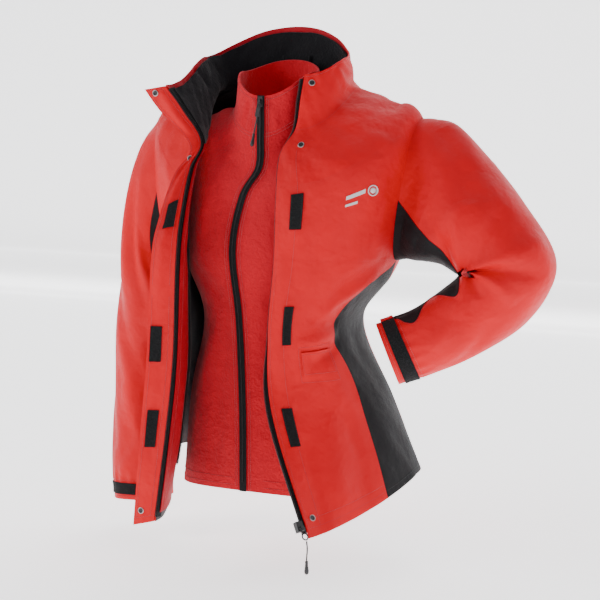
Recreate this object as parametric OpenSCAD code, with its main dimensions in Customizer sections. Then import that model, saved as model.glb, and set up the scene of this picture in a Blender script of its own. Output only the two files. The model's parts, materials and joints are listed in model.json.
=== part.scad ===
// Foul weather jacket, three layers in one: a waterproof shell worn open over a zip-up fleece.
// Millimetres. Origin at the centre of the neck base. +X is the wearer's left, -Y the front, +Z up.
// Every cloth piece is a sheet cut out of three surfaces: the shell, the fleece and the two sleeves.

/* [Shell] */
// Half width of the shell across the shoulders
shoulder_half = 253; // [235:1:300]
// Half width of the shell at the waist
waist_half = 156; // [140:1:190]
// Half width of the shell at the left side of the hem
hem_half = 266; // [225:1:310]
// Depth of the back panel behind the neck at hip height
back_depth = 150; // [130:1:180]
// Neck base to hem, down the side
body_length = 630; // [540:1:760]
// Height of the collar at the back of the neck
collar_height = 155; // [115:1:180]
// Thickness of the shell cloth with its membrane and drop lining
shell_wall = 2.4; // [1.6:0.1:3.2]

/* [Sleeves] */
// Radius of the sleeve opening at the cuff
cuff_radius = 54; // [46:1:62]
// Radius of the sleeve at the elbow
elbow_radius = 80; // [66:1:88]
// Clear gap between the upper and lower sleeve under each elbow, in stations along the arm
elbow_gap = 0.65; // [0.55:0.05:0.8]
// Width of the loop band round the cuff
cuff_band_width = 22; // [14:1:30]

/* [Fleece] */
// How much narrower the fleece is than the shell, on each side
fleece_ease = 24; // [18:1:40]
// Thickness of the fleece
fleece_wall = 3.0; // [2:0.1:4]
// Gap between the shell sleeve and the fleece sleeve
sleeve_gap = 3; // [2:0.5:6]

/* [Openings and closures] */
// Width of one side of a zip tape
tape_width = 14; // [10:1:18]
// Thickness of a zip tape
tape_wall = 1.2; // [0.8:0.1:1.6]
// Width of the chain of teeth
chain_width = 5; // [4:0.5:8]
// Height of a slider body
slider_length = 18; // [14:1:24]
// Radius of the bore in a slider's bridge
bridge_bore = 1.6; // [1.3:0.1:2]
// Radius of the crossbar of a zip pull, which turns in the bridge
crossbar_radius = 1.0; // [0.7:0.1:1.2]
// Length of the cord on the main zip's pull
pull_cord = 34; // [31:1:60]
// Thickness of a pull cord
cord_width = 2.6; // [2:0.1:3.5]
// Radius of a press snap
snap_radius = 6; // [4.5:0.5:8]
// Height of a hook or loop patch
patch_height = 62; // [40:1:80]
// Width of a hook or loop patch
patch_width = 22; // [16:1:28]
// Thickness of a hook or loop patch
patch_wall = 1.5; // [1:0.1:2.5]

/* [Hidden] */

red = "#d8101f";
charcoal = "#3a3c40";
black = "#1b1b1d";
fleece_red = "#c8141f";

// Stations down the shell: collar top, mid collar, neck, yoke, shoulder, chest, waist, hip, hem.
down = body_length / 630;
// [left half width, right half width, back depth, side y, side z, back z]
shell_rings = [
    [128, 150, 84, -5, collar_height - 55, collar_height],
    [134, 140, 84, 10, 75, 112],
    [139, 130, 86, 20, 48, 62],
    [shoulder_half - 58, shoulder_half - 68, 112, 22, 28, 15],
    [shoulder_half + 5, shoulder_half - 5, 130, 20, -26, -80],
    [shoulder_half - 31, shoulder_half - 33, back_depth - 10, 5, -250 * down, -245 * down],
    [waist_half - 4, waist_half + 4, back_depth - 25, 0, -365 * down, -365 * down],
    [waist_half + 54, waist_half + 34, back_depth - 15, 0, -500 * down, -500 * down],
    [hem_half, hem_half - 41, back_depth, 0, -630 * down, -655 * down]
];
// [x, y, z, heading of the cloth as it leaves the edge] down the left front edge
left_edge = [
    [75, -60, 72, 25], [74, -76, 30, 15], [72, -92, -20, 10], [57, -122, -62, 0],
    [62, -150, -130, 0], [63, -162, -240 * down, 0], [54, -168, -375 * down, 10],
    [72, -190, -500 * down, 40], [168, -250, -689 * down, 66]
];
right_edge = [
    [-168, -115, 52, 110], [-135, -112, 8, 100], [-103, -110, -45, 75], [-108, -140, -90, 80],
    [-100, -190, -165, 85], [-97, -215, -240 * down, 88], [-100, -225, -410 * down, 88],
    [-107, -240, -534 * down, 92], [-122, -258, -693 * down, 96]
];
// Free edge of the storm flap, which is folded back from the right front edge
flap_edge = [
    [-206, -120, 46], [-178, -116, 8], [-115, -125, -55], [-130, -158, -105], [-135, -205, -180],
    [-138, -225, -240 * down], [-142, -240, -410 * down], [-150, -250, -534 * down],
    [-160, -262, -703 * down]
];
// Fullness of the front at each station: at the edge, and at the side
fullness = [
    [.42, .42], [.42, .42], [.42, .42], [.42, .42], [.42, .42], [.42, .42], [.42, .42], [.38, .36],
    [.30, .26]
];
// Where the side panel's front seam runs, every half station from the armhole down
side_seam = [[.262], [.252], [.205], [.185], [.205], [.202], [.198], [.191]];
// [half width, front depth, back depth, front z, side z, back z] down the fleece
fleece_rings = [
    [70, 75, 60, 34, 75, 95], [78, 86, 70, -33, 15, 35], [112, 96, 92, -90, 5, -10],
    [shoulder_half - 71 - fleece_ease, 122, 110, -140, -40, -90],
    [shoulder_half - 51 - fleece_ease, 138, 118, -230 * down, -235 * down, -235 * down],
    [waist_half + 3 - fleece_ease, 130, 105, -350 * down, -360 * down, -350 * down],
    [waist_half + 33 - fleece_ease, 130, 115, -500 * down, -500 * down, -500 * down],
    [waist_half + 50 - fleece_ease, 136, 125, -658 * down, -675 * down, -675 * down]
];
// Arm stations from the shoulder to the cuff: [x, y, z, radius in the arm's plane, radius across]
left_arm = [
    [239, 16, -128, 122, 80], [276, 14, -129, 124, 88], [325, 8, -155, 105, 84],
    [380, 0, -196, 87, elbow_radius], [430, -8, -253, elbow_radius, elbow_radius - 4],
    [409, -20, -299, elbow_radius - 11, elbow_radius - 12],
    [359, -40, -343, cuff_radius + 9, cuff_radius + 6],
    [299, -68, -378, cuff_radius + 3, cuff_radius + 1], [243, -92, -399, cuff_radius + 1, cuff_radius - 4]
];
right_arm = [
    [-231, 16, -128, 118, 80], [-256, 18, -172, 92, 84], [-272, 26, -238, 76, elbow_radius],
    [-277, 34, -318, elbow_radius - 8, elbow_radius - 4],
    [-284, 38, -405, elbow_radius - 9, elbow_radius - 8],
    [-292, 34, -500, elbow_radius - 13, elbow_radius - 13],
    [-298, 24, -600, cuff_radius + 9, cuff_radius + 8],
    [-296, 6, -680, cuff_radius + 3, cuff_radius + 2], [-292, 0, -738, cuff_radius, cuff_radius - 1]
];
left_arm_across = [-.187, .902, -.389];
right_arm_across = [0, 1, -.05];

side_u = .3;            // where the side line of the shell is, as a share of the way round
arm_v = 4.42;           // station of the middle of the armhole
arm_du = .055;          // half width of the armhole, as a share of the way round
arm_dv = .58;           // half height of the armhole, in stations
chest_end = 5.25;       // station where the fixed chest ends above the hinged fronts
leaf_start = 5.4;       // station of the top of the hinged fronts
leaf_gap = .012;        // gap beside a hinged front, as a share of the way round
lining_wall = 1.4;      // thickness of the linings and facings
collar_gap = 3;         // gap between the collar and its lining
collar_lining_wall = 2; // thickness of the collar's fleece lining
lay = .8;               // gap under a piece sewn on a panel, for the panel's flat facets
layer_gap = 1.5;        // gap between the layers inside a front edge
lining_gap = 5;         // gap between the back and its lining
hair = .1;              // gap between two layers that lie on each other
smooth_turn = 1.5;      // stations over which a sleeve's rings turn into a bend
cap_length = [3, 4];    // stations over which the left and right sleeve caps blend
sleeve_start = .2;      // station where a sleeve begins, clear of the armhole
elbow_v = 4.05;         // station of the elbow
seam_gap = .0004;       // gap between two panels at a seam, as a share of the way round
curve_step = .001;      // step for slopes

function mix(a, b, t) = a * (1 - t) + b * t;
function clip(x, lo, hi) = max(lo, min(hi, x));
function unit(a) = a / norm(a);
function ease(t) = let(c = clip(t, 0, 1)) c * c * (3 - 2 * c);
function power(x, p) = sign(x) * pow(abs(x), p);

// A smooth curve through the rows of a table, at row number v
function through(tab, v) =
    let(n = len(tab) - 1, c = clip(v, 0, n), i = min(n - 1, floor(c)), t = c - i,
        b = tab[i], d = tab[i + 1], a = i > 0 ? tab[i - 1] : 2 * b - d,
        e = i < n - 1 ? tab[i + 2] : 2 * d - b)
    .5 * (2 * b + (d - a) * t + (2 * a - 5 * b + 4 * d - e) * t * t
          + (3 * b - a - 3 * d + e) * t * t * t);

// One front of the shell: a Bezier from its edge round to the side line
function front(edge, side, full, hand, t) =
    let(p = [edge.x, edge.y, edge.z], reach = norm([side.x - p.x, side.y - p.y]),
        p1 = p + full[0] * reach * [hand * cos(edge[3]), sin(edge[3]), 0],
        p2 = side + [0, -full[1] * reach, (p.z - side.z) / 4], s = 1 - t)
    s * s * s * p + 3 * s * s * t * p1 + 3 * s * t * t * p2 + t * t * t * side;

// The shell at share u of the way round, from the left edge over the back to the right edge
function shell(u, v) =
    let(r = through(shell_rings, v), k = through(fullness, v),
        f = clip((u - side_u) / (1 - 2 * side_u), 0, 1) * 180)
    u < side_u ? front(through(left_edge, v), [r[0], r[3], r[4]], k, 1, clip(u / side_u, 0, 1))
    : u > 1 - side_u
        ? front(through(right_edge, v), [-r[1], r[3], r[4]], k, -1, clip((1 - u) / side_u, 0, 1))
    : [(f < 90 ? r[0] : r[1]) * power(cos(f), 1 / 1.1), r[3] + (r[2] - r[3]) * power(sin(f), 1 / 1.1),
       r[4] + (r[5] - r[4]) * sin(f) * sin(f)];

// The fleece body at share u of the way round, from the front centre towards the wearer's left
function fleece(u, v) =
    let(r = through(fleece_rings, v), c = cos(360 * u), s = sin(360 * u))
    [r[0] * power(s, 1 / 1.125), -(c > 0 ? r[1] : r[2]) * power(c, 1 / 1.125),
     r[4] + ((c > 0 ? r[3] : r[5]) - r[4]) * c * c];

// A sleeve: hand 1 left, -1 right. w goes round from the back by the underarm, front and top.
// Its rings turn from the armhole's outline into plain ovals over the cap's length.
function armhole_at(hand, a) = shell((hand > 0 ? side_u : 1 - side_u) + hand * arm_du * cos(a),
                                     arm_v + arm_dv * sin(a));
left_hole = (armhole_at(1, 0) + armhole_at(1, 90) + armhole_at(1, 180) + armhole_at(1, 270)) / 4;
right_hole = (armhole_at(-1, 0) + armhole_at(-1, 90) + armhole_at(-1, 180) + armhole_at(-1, 270)) / 4;
function place(row) = [row[0], row[1], row[2]];
function sleeve(hand, w, v) =
    let(tab = hand > 0 ? left_arm : right_arm, across = hand > 0 ? left_arm_across : right_arm_across,
        hole = hand > 0 ? left_hole : right_hole, p = through(tab, v),
        along = unit(place(through(tab, v + smooth_turn)) - place(through(tab, v - smooth_turn))),
        under = unit(hand * cross(across, along)), back = hand * cross(along, under),
        ring = back * p[4] * cos(360 * w) + under * p[3] * sin(360 * w),
        s = ease(v / (hand > 0 ? cap_length[0] : cap_length[1])))
    place(p) + mix(hole - place(tab[0]) + armhole_at(hand, 360 * w) - hole, ring, s);

// Share of the way round of the seam between a front and the side, on the left half
function armhole(v) = arm_du * sqrt(max(0, 1 - pow((v - arm_v) / arm_dv, 2)));
function seam(v) = through(side_seam, (v - 4.5) * 2)[0];
function front_side(v) =
    v < arm_v + arm_dv ? side_u - armhole(v)
    : mix(side_u, seam(v), clip((v - arm_v - arm_dv) / (chest_end - arm_v - arm_dv), 0, 1));
function back_side(v) =
    v < arm_v + arm_dv ? side_u + armhole(v) : side_u + .045 * ease((v - arm_v - arm_dv) / .6);
// The fleece has its own armholes at its side lines
function fleece_arm(v) = .05 * sqrt(max(0, 1 - pow((v - 3.5) / .5, 2)));

// A solid sheet: s runs round and t down over f(s, t), from lo to hi above the surface
module sheet(f, across, down_count, lo, hi, flip = 1, closed = false) {
    columns = closed ? across : across + 1;
    rows = down_count + 1;
    grid = [for (j = [0 : down_count], i = [0 : columns - 1])
        let(s = i / across, t = j / down_count, e = curve_step,
            n = flip * unit(cross(f(s, t + e) - f(s, t - e), f(s + e, t) - f(s - e, t))))
        [f(s, t), n]];
    points = concat([for (g = grid) g[0] + hi * g[1]], [for (g = grid) g[0] + lo * g[1]]);
    low = rows * columns;
    turned = function(face) flip > 0 ? face : [face[2], face[1], face[0]];
    quad = function(a, b, c, d) [turned([a, b, c]), turned([a, c, d])];
    cells = [for (j = [0 : down_count - 1], i = [0 : across - 1])
        let(k = (i + 1) % columns) [j * columns + i, j * columns + k, (j + 1) * columns + k,
                                    (j + 1) * columns + i]];
    faces = concat(
        [for (c = cells) each quad(c[0], c[1], c[2], c[3])],
        [for (c = cells) each quad(low + c[3], low + c[2], low + c[1], low + c[0])],
        [for (i = [0 : across - 1]) let(k = (i + 1) % columns) each quad(low + i, low + k, k, i)],
        [for (i = [0 : across - 1]) let(k = (i + 1) % columns, b = down_count * columns)
            each quad(b + i, b + k, low + b + k, low + b + i)],
        closed ? [] : [for (j = [0 : down_count - 1]) let(a = j * columns, b = (j + 1) * columns)
            each quad(a, b, low + b, low + a)],
        closed ? [] : [for (j = [0 : down_count - 1])
            let(a = (j + 1) * columns - 1, b = (j + 2) * columns - 1)
            each quad(low + a, low + b, b, a)]);
    polyhedron(points, faces, convexity = 8);
}

// A cut of the shell between two seams, which are functions of the station
function shell_cut(from, to, v0, v1) = function(s, t)
    let(v = mix(v0, v1, t)) shell(mix(from(v), to(v), s), v);
function mirrored(seam_line) = function(v) 1 - seam_line(v);
function fleece_cut(from, to, v0, v1) = function(s, t)
    let(v = mix(v0, v1, t)) fleece(mix(from(v), to(v), s), v);
function sleeve_cut(hand, w0, w1, v0, v1) = function(s, t) sleeve(hand, mix(w0, w1, s), mix(v0, v1, t));
// The cut at the elbow is half as wide outside it as under it
function elbow_side(w, away) = elbow_v + away * elbow_gap * (3 + sin(360 * w)) / 8;
function upper_cut(hand, v0, short) = function(s, t) sleeve(hand, s, mix(v0, elbow_side(s, -1) - short, t));
function lower_cut(hand, w0, w1, v1, short) = function(s, t)
    let(w = mix(w0, w1, s)) sleeve(hand, w, mix(elbow_side(w, 1) + short, v1, t));
function patch(u, v, du, dv) = function(s, t) shell(u + (s - .5) * du, v + (t - .5) * dv);
function flap(s, v) =
    let(e = through(right_edge, v), p = through(flap_edge, v)) mix([e.x, e.y, e.z], p, s);
function flap_cut(s0, s1, v0, v1) = function(s, t) flap(mix(s0, s1, s), mix(v0, v1, t));
// A strip laid along a front edge: from in_by behind the edge to out_by past it
function edge_strip(hand, in_by, out_by, v0, v1) = function(s, t)
    let(v = mix(v0, v1, t), u = hand > 0 ? 0 : 1, p = shell(u, v),
        along = unit(shell(u, v + curve_step) - shell(u, v - curve_step)),
        raw = p - shell(u + hand * .004, v), out = unit(raw - (raw * along) * along))
    p + out * (hand > 0 ? mix(out_by(v), -in_by, s) : mix(-in_by, out_by(v), s));

// Moves its children to p, with their z along the direction given and x near the side given
module stand_at(p, z_to, x_near) {
    z = unit(z_to);
    x = unit(x_near - (x_near * z) * z);
    y = cross(z, x);
    multmatrix([[x.x, y.x, z.x, p.x], [x.y, y.y, z.y, p.y], [x.z, y.z, z.z, p.z], [0, 0, 0, 1]])
        children();
}
function outward(f, s, t, flip = 1) = let(e = curve_step)
    flip * unit(cross(f(s, t + e) - f(s, t - e), f(s + e, t) - f(s - e, t)));
module rod(a, b, r, sides = 24) {
    stand_at(a, b - a, abs(unit(b - a).x) > .9 ? [0, 1, 0] : [1, 0, 0])
        cylinder(h = norm(b - a), r = r, $fn = sides);
}
// A press snap: a dished cap with a raised ring, standing on a surface
module snap(p, n) {
    stand_at(p, n, [1, 0, 0]) rotate_extrude($fn = 24)
        polygon([[0, 0], [snap_radius, 0], [snap_radius, 1], [snap_radius - 1.2, 2],
                 [snap_radius - 2.6, 2], [snap_radius - 3.2, 1.2], [0, 1.2]]);
}
module snap_on(f, s, t, lift = 0, flip = 1) {
    n = outward(f, s, t, flip);
    snap(f(s, t) + lift * n, n);
}

// ---- The shell's body ----
module back_panel() {
    color(red) sheet(shell_cut(function(v) back_side(v), function(v) 1 - back_side(v), 2, 8),
                     16, 24, -shell_wall, 0);
}
module side_panel(hand) {
    low = function(v) front_side(v) + seam_gap;
    high = function(v) back_side(v) - seam_gap;
    cut = hand > 0 ? shell_cut(low, high, chest_end, 8)
        : shell_cut(mirrored(high), mirrored(low), chest_end, 8);
    color(charcoal) sheet(cut, 5, 11, -shell_wall, 0);
}
module left_side_panel() side_panel(1);
module right_side_panel() side_panel(-1);
module chest_panel(hand) {
    zero = function(v) 0;
    side = function(v) front_side(v);
    cut = hand > 0 ? shell_cut(zero, side, 2, chest_end)
        : shell_cut(mirrored(side), mirrored(zero), 2, chest_end);
    color(red) sheet(cut, 12, 13, -shell_wall, 0);
}
module left_chest_panel() chest_panel(1);
module right_chest_panel() chest_panel(-1);
module collar_shell() {
    color(red) sheet(function(s, t) shell(s, 1.99 * t), 40, 4, -shell_wall, 0);
}
module collar_lining() {
    color(charcoal) sheet(function(s, t) shell(mix(.025, .975, s), mix(.25, 2, t)), 38, 4,
                          -shell_wall - collar_gap - collar_lining_wall, -shell_wall - collar_gap);
}
module back_lining() {
    color(charcoal) sheet(function(s, t) shell(mix(.37, .63, s), mix(2.3, 7.85, t)), 10, 12,
                          -shell_wall - lining_gap - lining_wall, -shell_wall - lining_gap);
}
loop_radius = 1.8;
module hanger_loop() {
    inside = shell_wall + collar_gap + collar_lining_wall + loop_radius + layer_gap;
    top = shell(.5, 1.2) - [0, inside, 0];
    color(black) translate(top) rotate([90, 0, 0]) intersection() {
        rotate_extrude($fn = 32) translate([26, 0]) circle(r = loop_radius, $fn = 16);
        translate([-40, -40, -5]) cube([80, 40, 10]);
    }
}
module chest_badge() {
    f = patch(.146, 4.3, .06, .26);
    color("white") sheet(f, 6, 4, lay, lay + 1);
}
module chest_loop_patch() { color(black) loop_patch(.036, 4.28, 110); }
module loop_patch(u, v, per_station) {
    sheet(patch(u, v, patch_width / 1050, patch_height / per_station), 4, 6, lay, lay + patch_wall);
}
module collar_snaps() {
    whole = function(s, t) shell(s, t);
    color(black) {
        snap_on(whole, .043, .41, lay);
        snap_on(whole, .043, 2.76, lay);
    }
}

// ---- The main zip: one tape on each front, cut at the fold of the hinged fronts ----
left_reach = function(v) v < 1 ? 5 : v < 4 ? 1 : 1 + 7 * ease((v - 5.5) / 1.6);
right_reach = function(v) 2;
module zip_tape(hand, v0, v1, rows) {
    low = -shell_wall - layer_gap - tape_wall;
    reach = hand > 0 ? left_reach : right_reach;
    color(black) sheet(edge_strip(hand, tape_width - 2, reach, v0, v1), 3, rows, low, low + tape_wall);
}
module left_zip_tape_upper() zip_tape(1, 2.25, chest_end, 12);
module left_zip_tape() zip_tape(1, leaf_start, tape_end, 16);
module right_zip_tape_upper() zip_tape(-1, 2.25, chest_end, 12);
module right_zip_tape() zip_tape(-1, leaf_start, tape_end, 16);

tape_end = 7.95;                                 // station where the main zip's tapes end
slide_v = 7.9;                                   // station where the main slider rests
slider_foot = edge_strip(1, 0, left_reach, 0, 8)(0, slide_v / 8);
slider_up = unit(shell(0, 7.55) - shell(0, slide_v));
slider_face = outward(function(s, t) shell(s, t), .002, slide_v);
slider_side = unit(cross(slider_face, slider_up));   // across the tape, away from the front
slider_reach = 3;                                // slider's middle, past the tape's edge
slider_mid = slider_foot - (shell_wall + layer_gap + tape_wall / 2) * slider_face;
bridge_height = 8;                               // bridge bore above the tape's middle
bridge_drop = slider_length / 4;                 // bridge bore below the slider's middle
slider_out = unit(slider_face - (slider_face * slider_up) * slider_up);
main_hinge = slider_mid + bridge_height * slider_out - bridge_drop * slider_up
    + slider_reach * slider_side;
module main_zip_slider() {
    color(black) stand_at(slider_mid, slider_up, slider_face) translate([0, -slider_reach, 0])
        difference() {
            union() {
                translate([-4.4, -6.5, -slider_length / 2]) cube([8.8, 13, slider_length]);
                translate([4, -2.5, -bridge_drop - 4]) cube([bridge_height - 1.2, 5, 8]);
            }
            translate([-2.2, 0, -slider_length]) cube([4.4, 9, 2 * slider_length]);
            translate([bridge_height, 0, -bridge_drop]) rotate([90, 0, 0])
                cylinder(h = 20, r = bridge_bore, center = true, $fn = 32);
        }
}
ring_drop = 15;      // hinge to the middle of the pull's ring
ring_radius = 5.5;
ring_wire = 1.2;
main_eye = main_hinge - ring_drop * slider_up;
module main_pull_ring() {
    reach = 4.2;
    past = 5.4;
    leg_radius = .8;
    leg = (ring_drop - ring_radius + .4) * slider_up;
    color(black) {
        rod(main_hinge - past * slider_side, main_hinge + past * slider_side, crossbar_radius);
        for (x = [-reach, reach])
            rod(main_hinge + x * slider_side, main_hinge + x * slider_side - leg, leg_radius);
        rod(main_hinge - past * slider_side - leg, main_hinge + past * slider_side - leg, 1.05);
        stand_at(main_eye, slider_out, slider_side) rotate_extrude($fn = 32)
            translate([ring_radius, 0]) circle(r = ring_wire, $fn = 16);
    }
}
// The cord hangs from the ring: its points below its top end
main_cord_top = main_eye - (ring_radius + ring_wire + cord_width / 2 + hair) * slider_up;
main_cord_drops = [[0, 0, 0], [.4, 0, -4], [.8, .2, -8], [1, .3, -12], [1, .3, -16], [.8, .2, -20],
                   [.5, 0, -24], [.2, -.2, -28], [0, -.2, -32], [0, 0, -34]];
fleece_cord_drops = [[0, 0, -28], [.3, 0, -32], [.5, 0, -36], [.5, 0, -40], [.3, 0, -44], [0, 0, -48],
                     [-.3, 0, -52], [-.4, 0, -56], [-.2, 0, -59]];
// A round cord through a list of points that runs mostly along one direction
module cord(points, r) {
    n = len(points);
    sides = 8;
    rings = [for (i = [0 : n - 1])
        let(z = unit(points[min(i + 1, n - 1)] - points[max(i - 1, 0)]),
            x = unit([1, 0, 0] - z.x * z), y = cross(z, x))
        [for (k = [0 : sides - 1]) points[i] + r * (x * cos(45 * k) + y * sin(45 * k))]];
    polyhedron(
        [for (ring = rings) each ring],
        concat([[for (k = [0 : sides - 1]) k]],
               [[for (k = [0 : sides - 1]) (n - 1) * sides + sides - 1 - k]],
               [for (i = [0 : n - 2], k = [0 : sides - 1])
                   let(a = i * sides + k, b = i * sides + (k + 1) % sides)
                   [a, a + sides, b + sides, b]]));
}
stretch = pull_cord / 34;
module main_pull_cord() {
    color(black) cord([for (d = main_cord_drops)
        main_cord_top + [d.x, d.y, d.z * stretch]], cord_width / 2);
}
// A moulded teardrop end below z = 0
module pull_end(length, r) {
    rotate_extrude($fn = 32) polygon([[0, 0], [r * .55, 0], [r * .6, -length * .3],
        [r * .9, -length * .6], [r, -length * .8], [r * .75, -length * .94], [0, -length]]);
}
module main_pull_end() {
    color(black) translate(main_cord_top - [0, 0, pull_cord + hair]) pull_end(24, 4.2);
}

// ---- The hinged fronts ----
module front_panel(hand) {
    zero = function(v) 0;
    side = function(v) front_side(v) - leaf_gap;
    cut = hand > 0 ? shell_cut(zero, side, leaf_start, 8)
        : shell_cut(mirrored(side), mirrored(zero), leaf_start, 8);
    color(red) sheet(cut, 12, 13, -shell_wall, 0);
}
module left_front_panel() front_panel(1);
module right_front_panel() front_panel(-1);
module facing(hand) {
    cut = hand > 0 ? function(s, t) shell(mix(.004, .07, s), mix(leaf_start, 7.9, t))
        : function(s, t) shell(mix(.93, .996, s), mix(leaf_start, 7.9, t));
    top = -shell_wall - tape_wall - 2 * layer_gap;
    color(red) sheet(cut, 4, 14, top - lining_wall, top);
}
module left_facing() facing(1);
module right_facing() facing(-1);
module front_loop_patches() {
    color(black) {
        loop_patch(.043, 5.83, 125);
        loop_patch(.03, 7.13, 175);
    }
}
module left_hem_snap() {
    color(black) snap_on(function(s, t) shell(s, t), .022, 7.86, lay);
}
module connection_zip() {
    top = -shell_wall - tape_wall - lining_wall - 3 * layer_gap;
    color(black) sheet(function(s, t) shell(mix(.925, .942, s), mix(leaf_start + .1, 7.5, t)), 2, 14,
                       top - 2, top);
}
module pocket_flap(hand) {
    cut = hand > 0 ? function(s, t) shell(mix(.078, .165, s), mix(6.2, 6.56, t))
        : function(s, t) shell(mix(.835, .922, s), mix(6.2, 6.56, t));
    color(red) sheet(cut, 6, 4, lay, lay + shell_wall);
}
module left_pocket_flap() pocket_flap(1);
module right_pocket_flap() pocket_flap(-1);

// ---- The storm flap, in an upper part on the collar and a lower part that folds ----
flap_wall = 3;
flap_root = .2;      // share of the flap's width left clear at the fold
module storm_flap_upper() {
    color(red) sheet(flap_cut(.04, 1, .05, chest_end), 4, 18, -flap_wall, 0);
}
module storm_flap() {
    color(red) sheet(flap_cut(flap_root, 1, leaf_start, 8), 4, 14, -flap_wall, 0);
}
module hook_patch(s, v, per_station) {
    half = patch_height / per_station / 2;
    sheet(flap_cut(s - .22, s + .22, v - half, v + half), 2, 6, -flap_wall - lay - patch_wall,
          -flap_wall - lay);
}
module storm_flap_upper_patch() { color(black) hook_patch(.42, 4.0, 100); }
module storm_flap_patches() {
    color(black) {
        hook_patch(.66, 5.86, 170);
        hook_patch(.55, 6.97, 135);
    }
}
flap_whole = function(s, t) flap(s, t);
module storm_flap_upper_snaps() {
    color(black) {
        snap_on(flap_whole, .62, .27, flap_wall + 2 * lay, -1);
        snap_on(flap_whole, .6, 2.5, flap_wall + 2 * lay, -1);
    }
}
module storm_flap_hem_snap() {
    color(black) snap_on(flap_whole, .66, 7.86, flap_wall + lay, -1);
}

// ---- The fleece ----
fleece_v0 = 1;       // station where the collar meets the body
module fleece_left_front() {
    color(fleece_red) sheet(fleece_cut(function(v) 0, function(v) .25 - fleece_arm(v), fleece_v0, 7),
                            10, 12, -fleece_wall, 0);
}
module fleece_right_front() {
    color(fleece_red) sheet(fleece_cut(function(v) .75 + fleece_arm(v), function(v) 1, fleece_v0, 7),
                            10, 12, -fleece_wall, 0);
}
module fleece_back() {
    color(fleece_red) sheet(fleece_cut(function(v) .25 + fleece_arm(v), function(v) .75 - fleece_arm(v),
                                       fleece_v0, 7), 20, 12, -fleece_wall, 0);
}
module fleece_collar() {
    color(fleece_red) sheet(function(s, t) fleece(s, t * (fleece_v0 - .004)), 40, 3, -fleece_wall,
                            0, 1, true);
}
// The fleece zip wanders a little from side to side as the cloth drapes
zip_wander = [[0], [4], [5], [-14], [-26], [-18], [-12], [-9]];
function zip_line(dx, v) =
    let(p = fleece(0, v), q = fleece(.02, v), x = through(zip_wander, v)[0] + dx, f = x / q.x)
    [x, p.y + (q.y - p.y) * min(1, f * f), p.z];
module fleece_zip_tape() {
    color(black) sheet(function(s, t) zip_line(mix(-tape_width / 2, tape_width / 2, s), 7 * t), 2, 24,
                       lay, lay + tape_wall);
}
module fleece_zip_teeth() {
    color(black) sheet(function(s, t) zip_line(mix(-chain_width / 2, chain_width / 2, s),
                                               mix(.35, 6.9, t)), 2, 24,
                       2 * lay + tape_wall, 2 * lay + 2 * tape_wall);
}
fleece_top = zip_line(0, .16);
fleece_up = unit(zip_line(0, .05) - zip_line(0, .8));
fleece_face = unit(cross([1, 0, 0], fleece_up));
fleece_hinge = fleece_top + 8.5 * fleece_face;
module fleece_zip_slider() {
    color(black) stand_at(fleece_top, fleece_up, [1, 0, 0]) difference() {
        union() {
            translate([-4.5, -6.4, -slider_length / 2]) cube([9, 2, slider_length]);
            translate([-2, -11, -4]) cube([4, 5.2, 8]);
        }
        translate([0, -8.5, 0]) rotate([0, 90, 0])
            cylinder(h = 20, r = bridge_bore, center = true, $fn = 32);
    }
}
pull_way = unit([0, -.42, -1]);      // the pull lies down the chest, which slopes outwards
module fleece_pull_tab() {
    down_by = 4;
    color(black) stand_at(fleece_hinge, -pull_way, [1, 0, 0]) {
        translate([-3.8, 0, 0]) rotate([0, 90, 0]) cylinder(h = 7.6, r = crossbar_radius, $fn = 24);
        for (x = [-3.8, 2.4]) translate([x, -.7, -8 - down_by]) cube([1.4, 1.4, 9 + down_by]);
        translate([-3.8, -.7, -28]) cube([7.6, 1.4, 28 - 8 - down_by + 1]);
    }
}
module fleece_pull_cord() {
    x = [1, 0, 0];
    color(black) cord([for (d = fleece_cord_drops) fleece_hinge + d.x * x - d.z * pull_way],
                      cord_width / 2);
}
module fleece_pull_end() {
    color(black) stand_at(fleece_hinge + (59 + hair) * pull_way, -pull_way, [1, 0, 0]) pull_end(26, 3.6);
}

// ---- The sleeves ----
panel_w = [.15, .36];     // the inner forearm panel, as shares of the way round from the back
module upper_sleeve(hand) {
    color(red) sheet(upper_cut(hand, sleeve_start, 0), 22, 10, -shell_wall, 0, hand, true);
}
module lower_sleeve(hand) {
    color(red) sheet(lower_cut(hand, panel_w[1], panel_w[0] + 1, 8, 0), 17, 8, -shell_wall, 0, hand);
}
module forearm_panel(hand) {
    color(charcoal) sheet(lower_cut(hand, panel_w[0], panel_w[1], 8, 0), 5, 8, -shell_wall, 0, hand);
}
fleece_short = .1;        // how far the fleece sleeves stop short of the shell's cut at the elbow
fleece_out = -shell_wall - sleeve_gap;
module fleece_upper(hand) {
    color(fleece_red) sheet(upper_cut(hand, .9, fleece_short), 22, 6, fleece_out - fleece_wall,
                            fleece_out, hand, true);
}
module fleece_lower(hand) {
    color(fleece_red) sheet(lower_cut(hand, 0, 1, 7.7, fleece_short), 22, 7,
                            fleece_out - fleece_wall, fleece_out, hand, true);
}
cuff_station = 60;        // millimetres of sleeve in one station near the cuff
module cuff_band(hand) {
    low = 7.82 - cuff_band_width / cuff_station;
    color(black) sheet(sleeve_cut(hand, 0, 1, low, 7.82), 22, 1, lay, lay + 1.2, hand, true);
}
module cuff_tab(hand) {
    low = 7.84 - cuff_band_width / cuff_station;
    color(red) sheet(sleeve_cut(hand, .14, .34, low, 7.84), 6, 2, 2 * lay + 1.2, 2 * lay + 3.2, hand);
}
module left_upper_sleeve() upper_sleeve(1);
module right_upper_sleeve() upper_sleeve(-1);
module left_lower_sleeve() lower_sleeve(1);
module right_lower_sleeve() lower_sleeve(-1);
module left_forearm_panel() forearm_panel(1);
module right_forearm_panel() forearm_panel(-1);
module left_fleece_upper_sleeve() fleece_upper(1);
module right_fleece_upper_sleeve() fleece_upper(-1);
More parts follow.
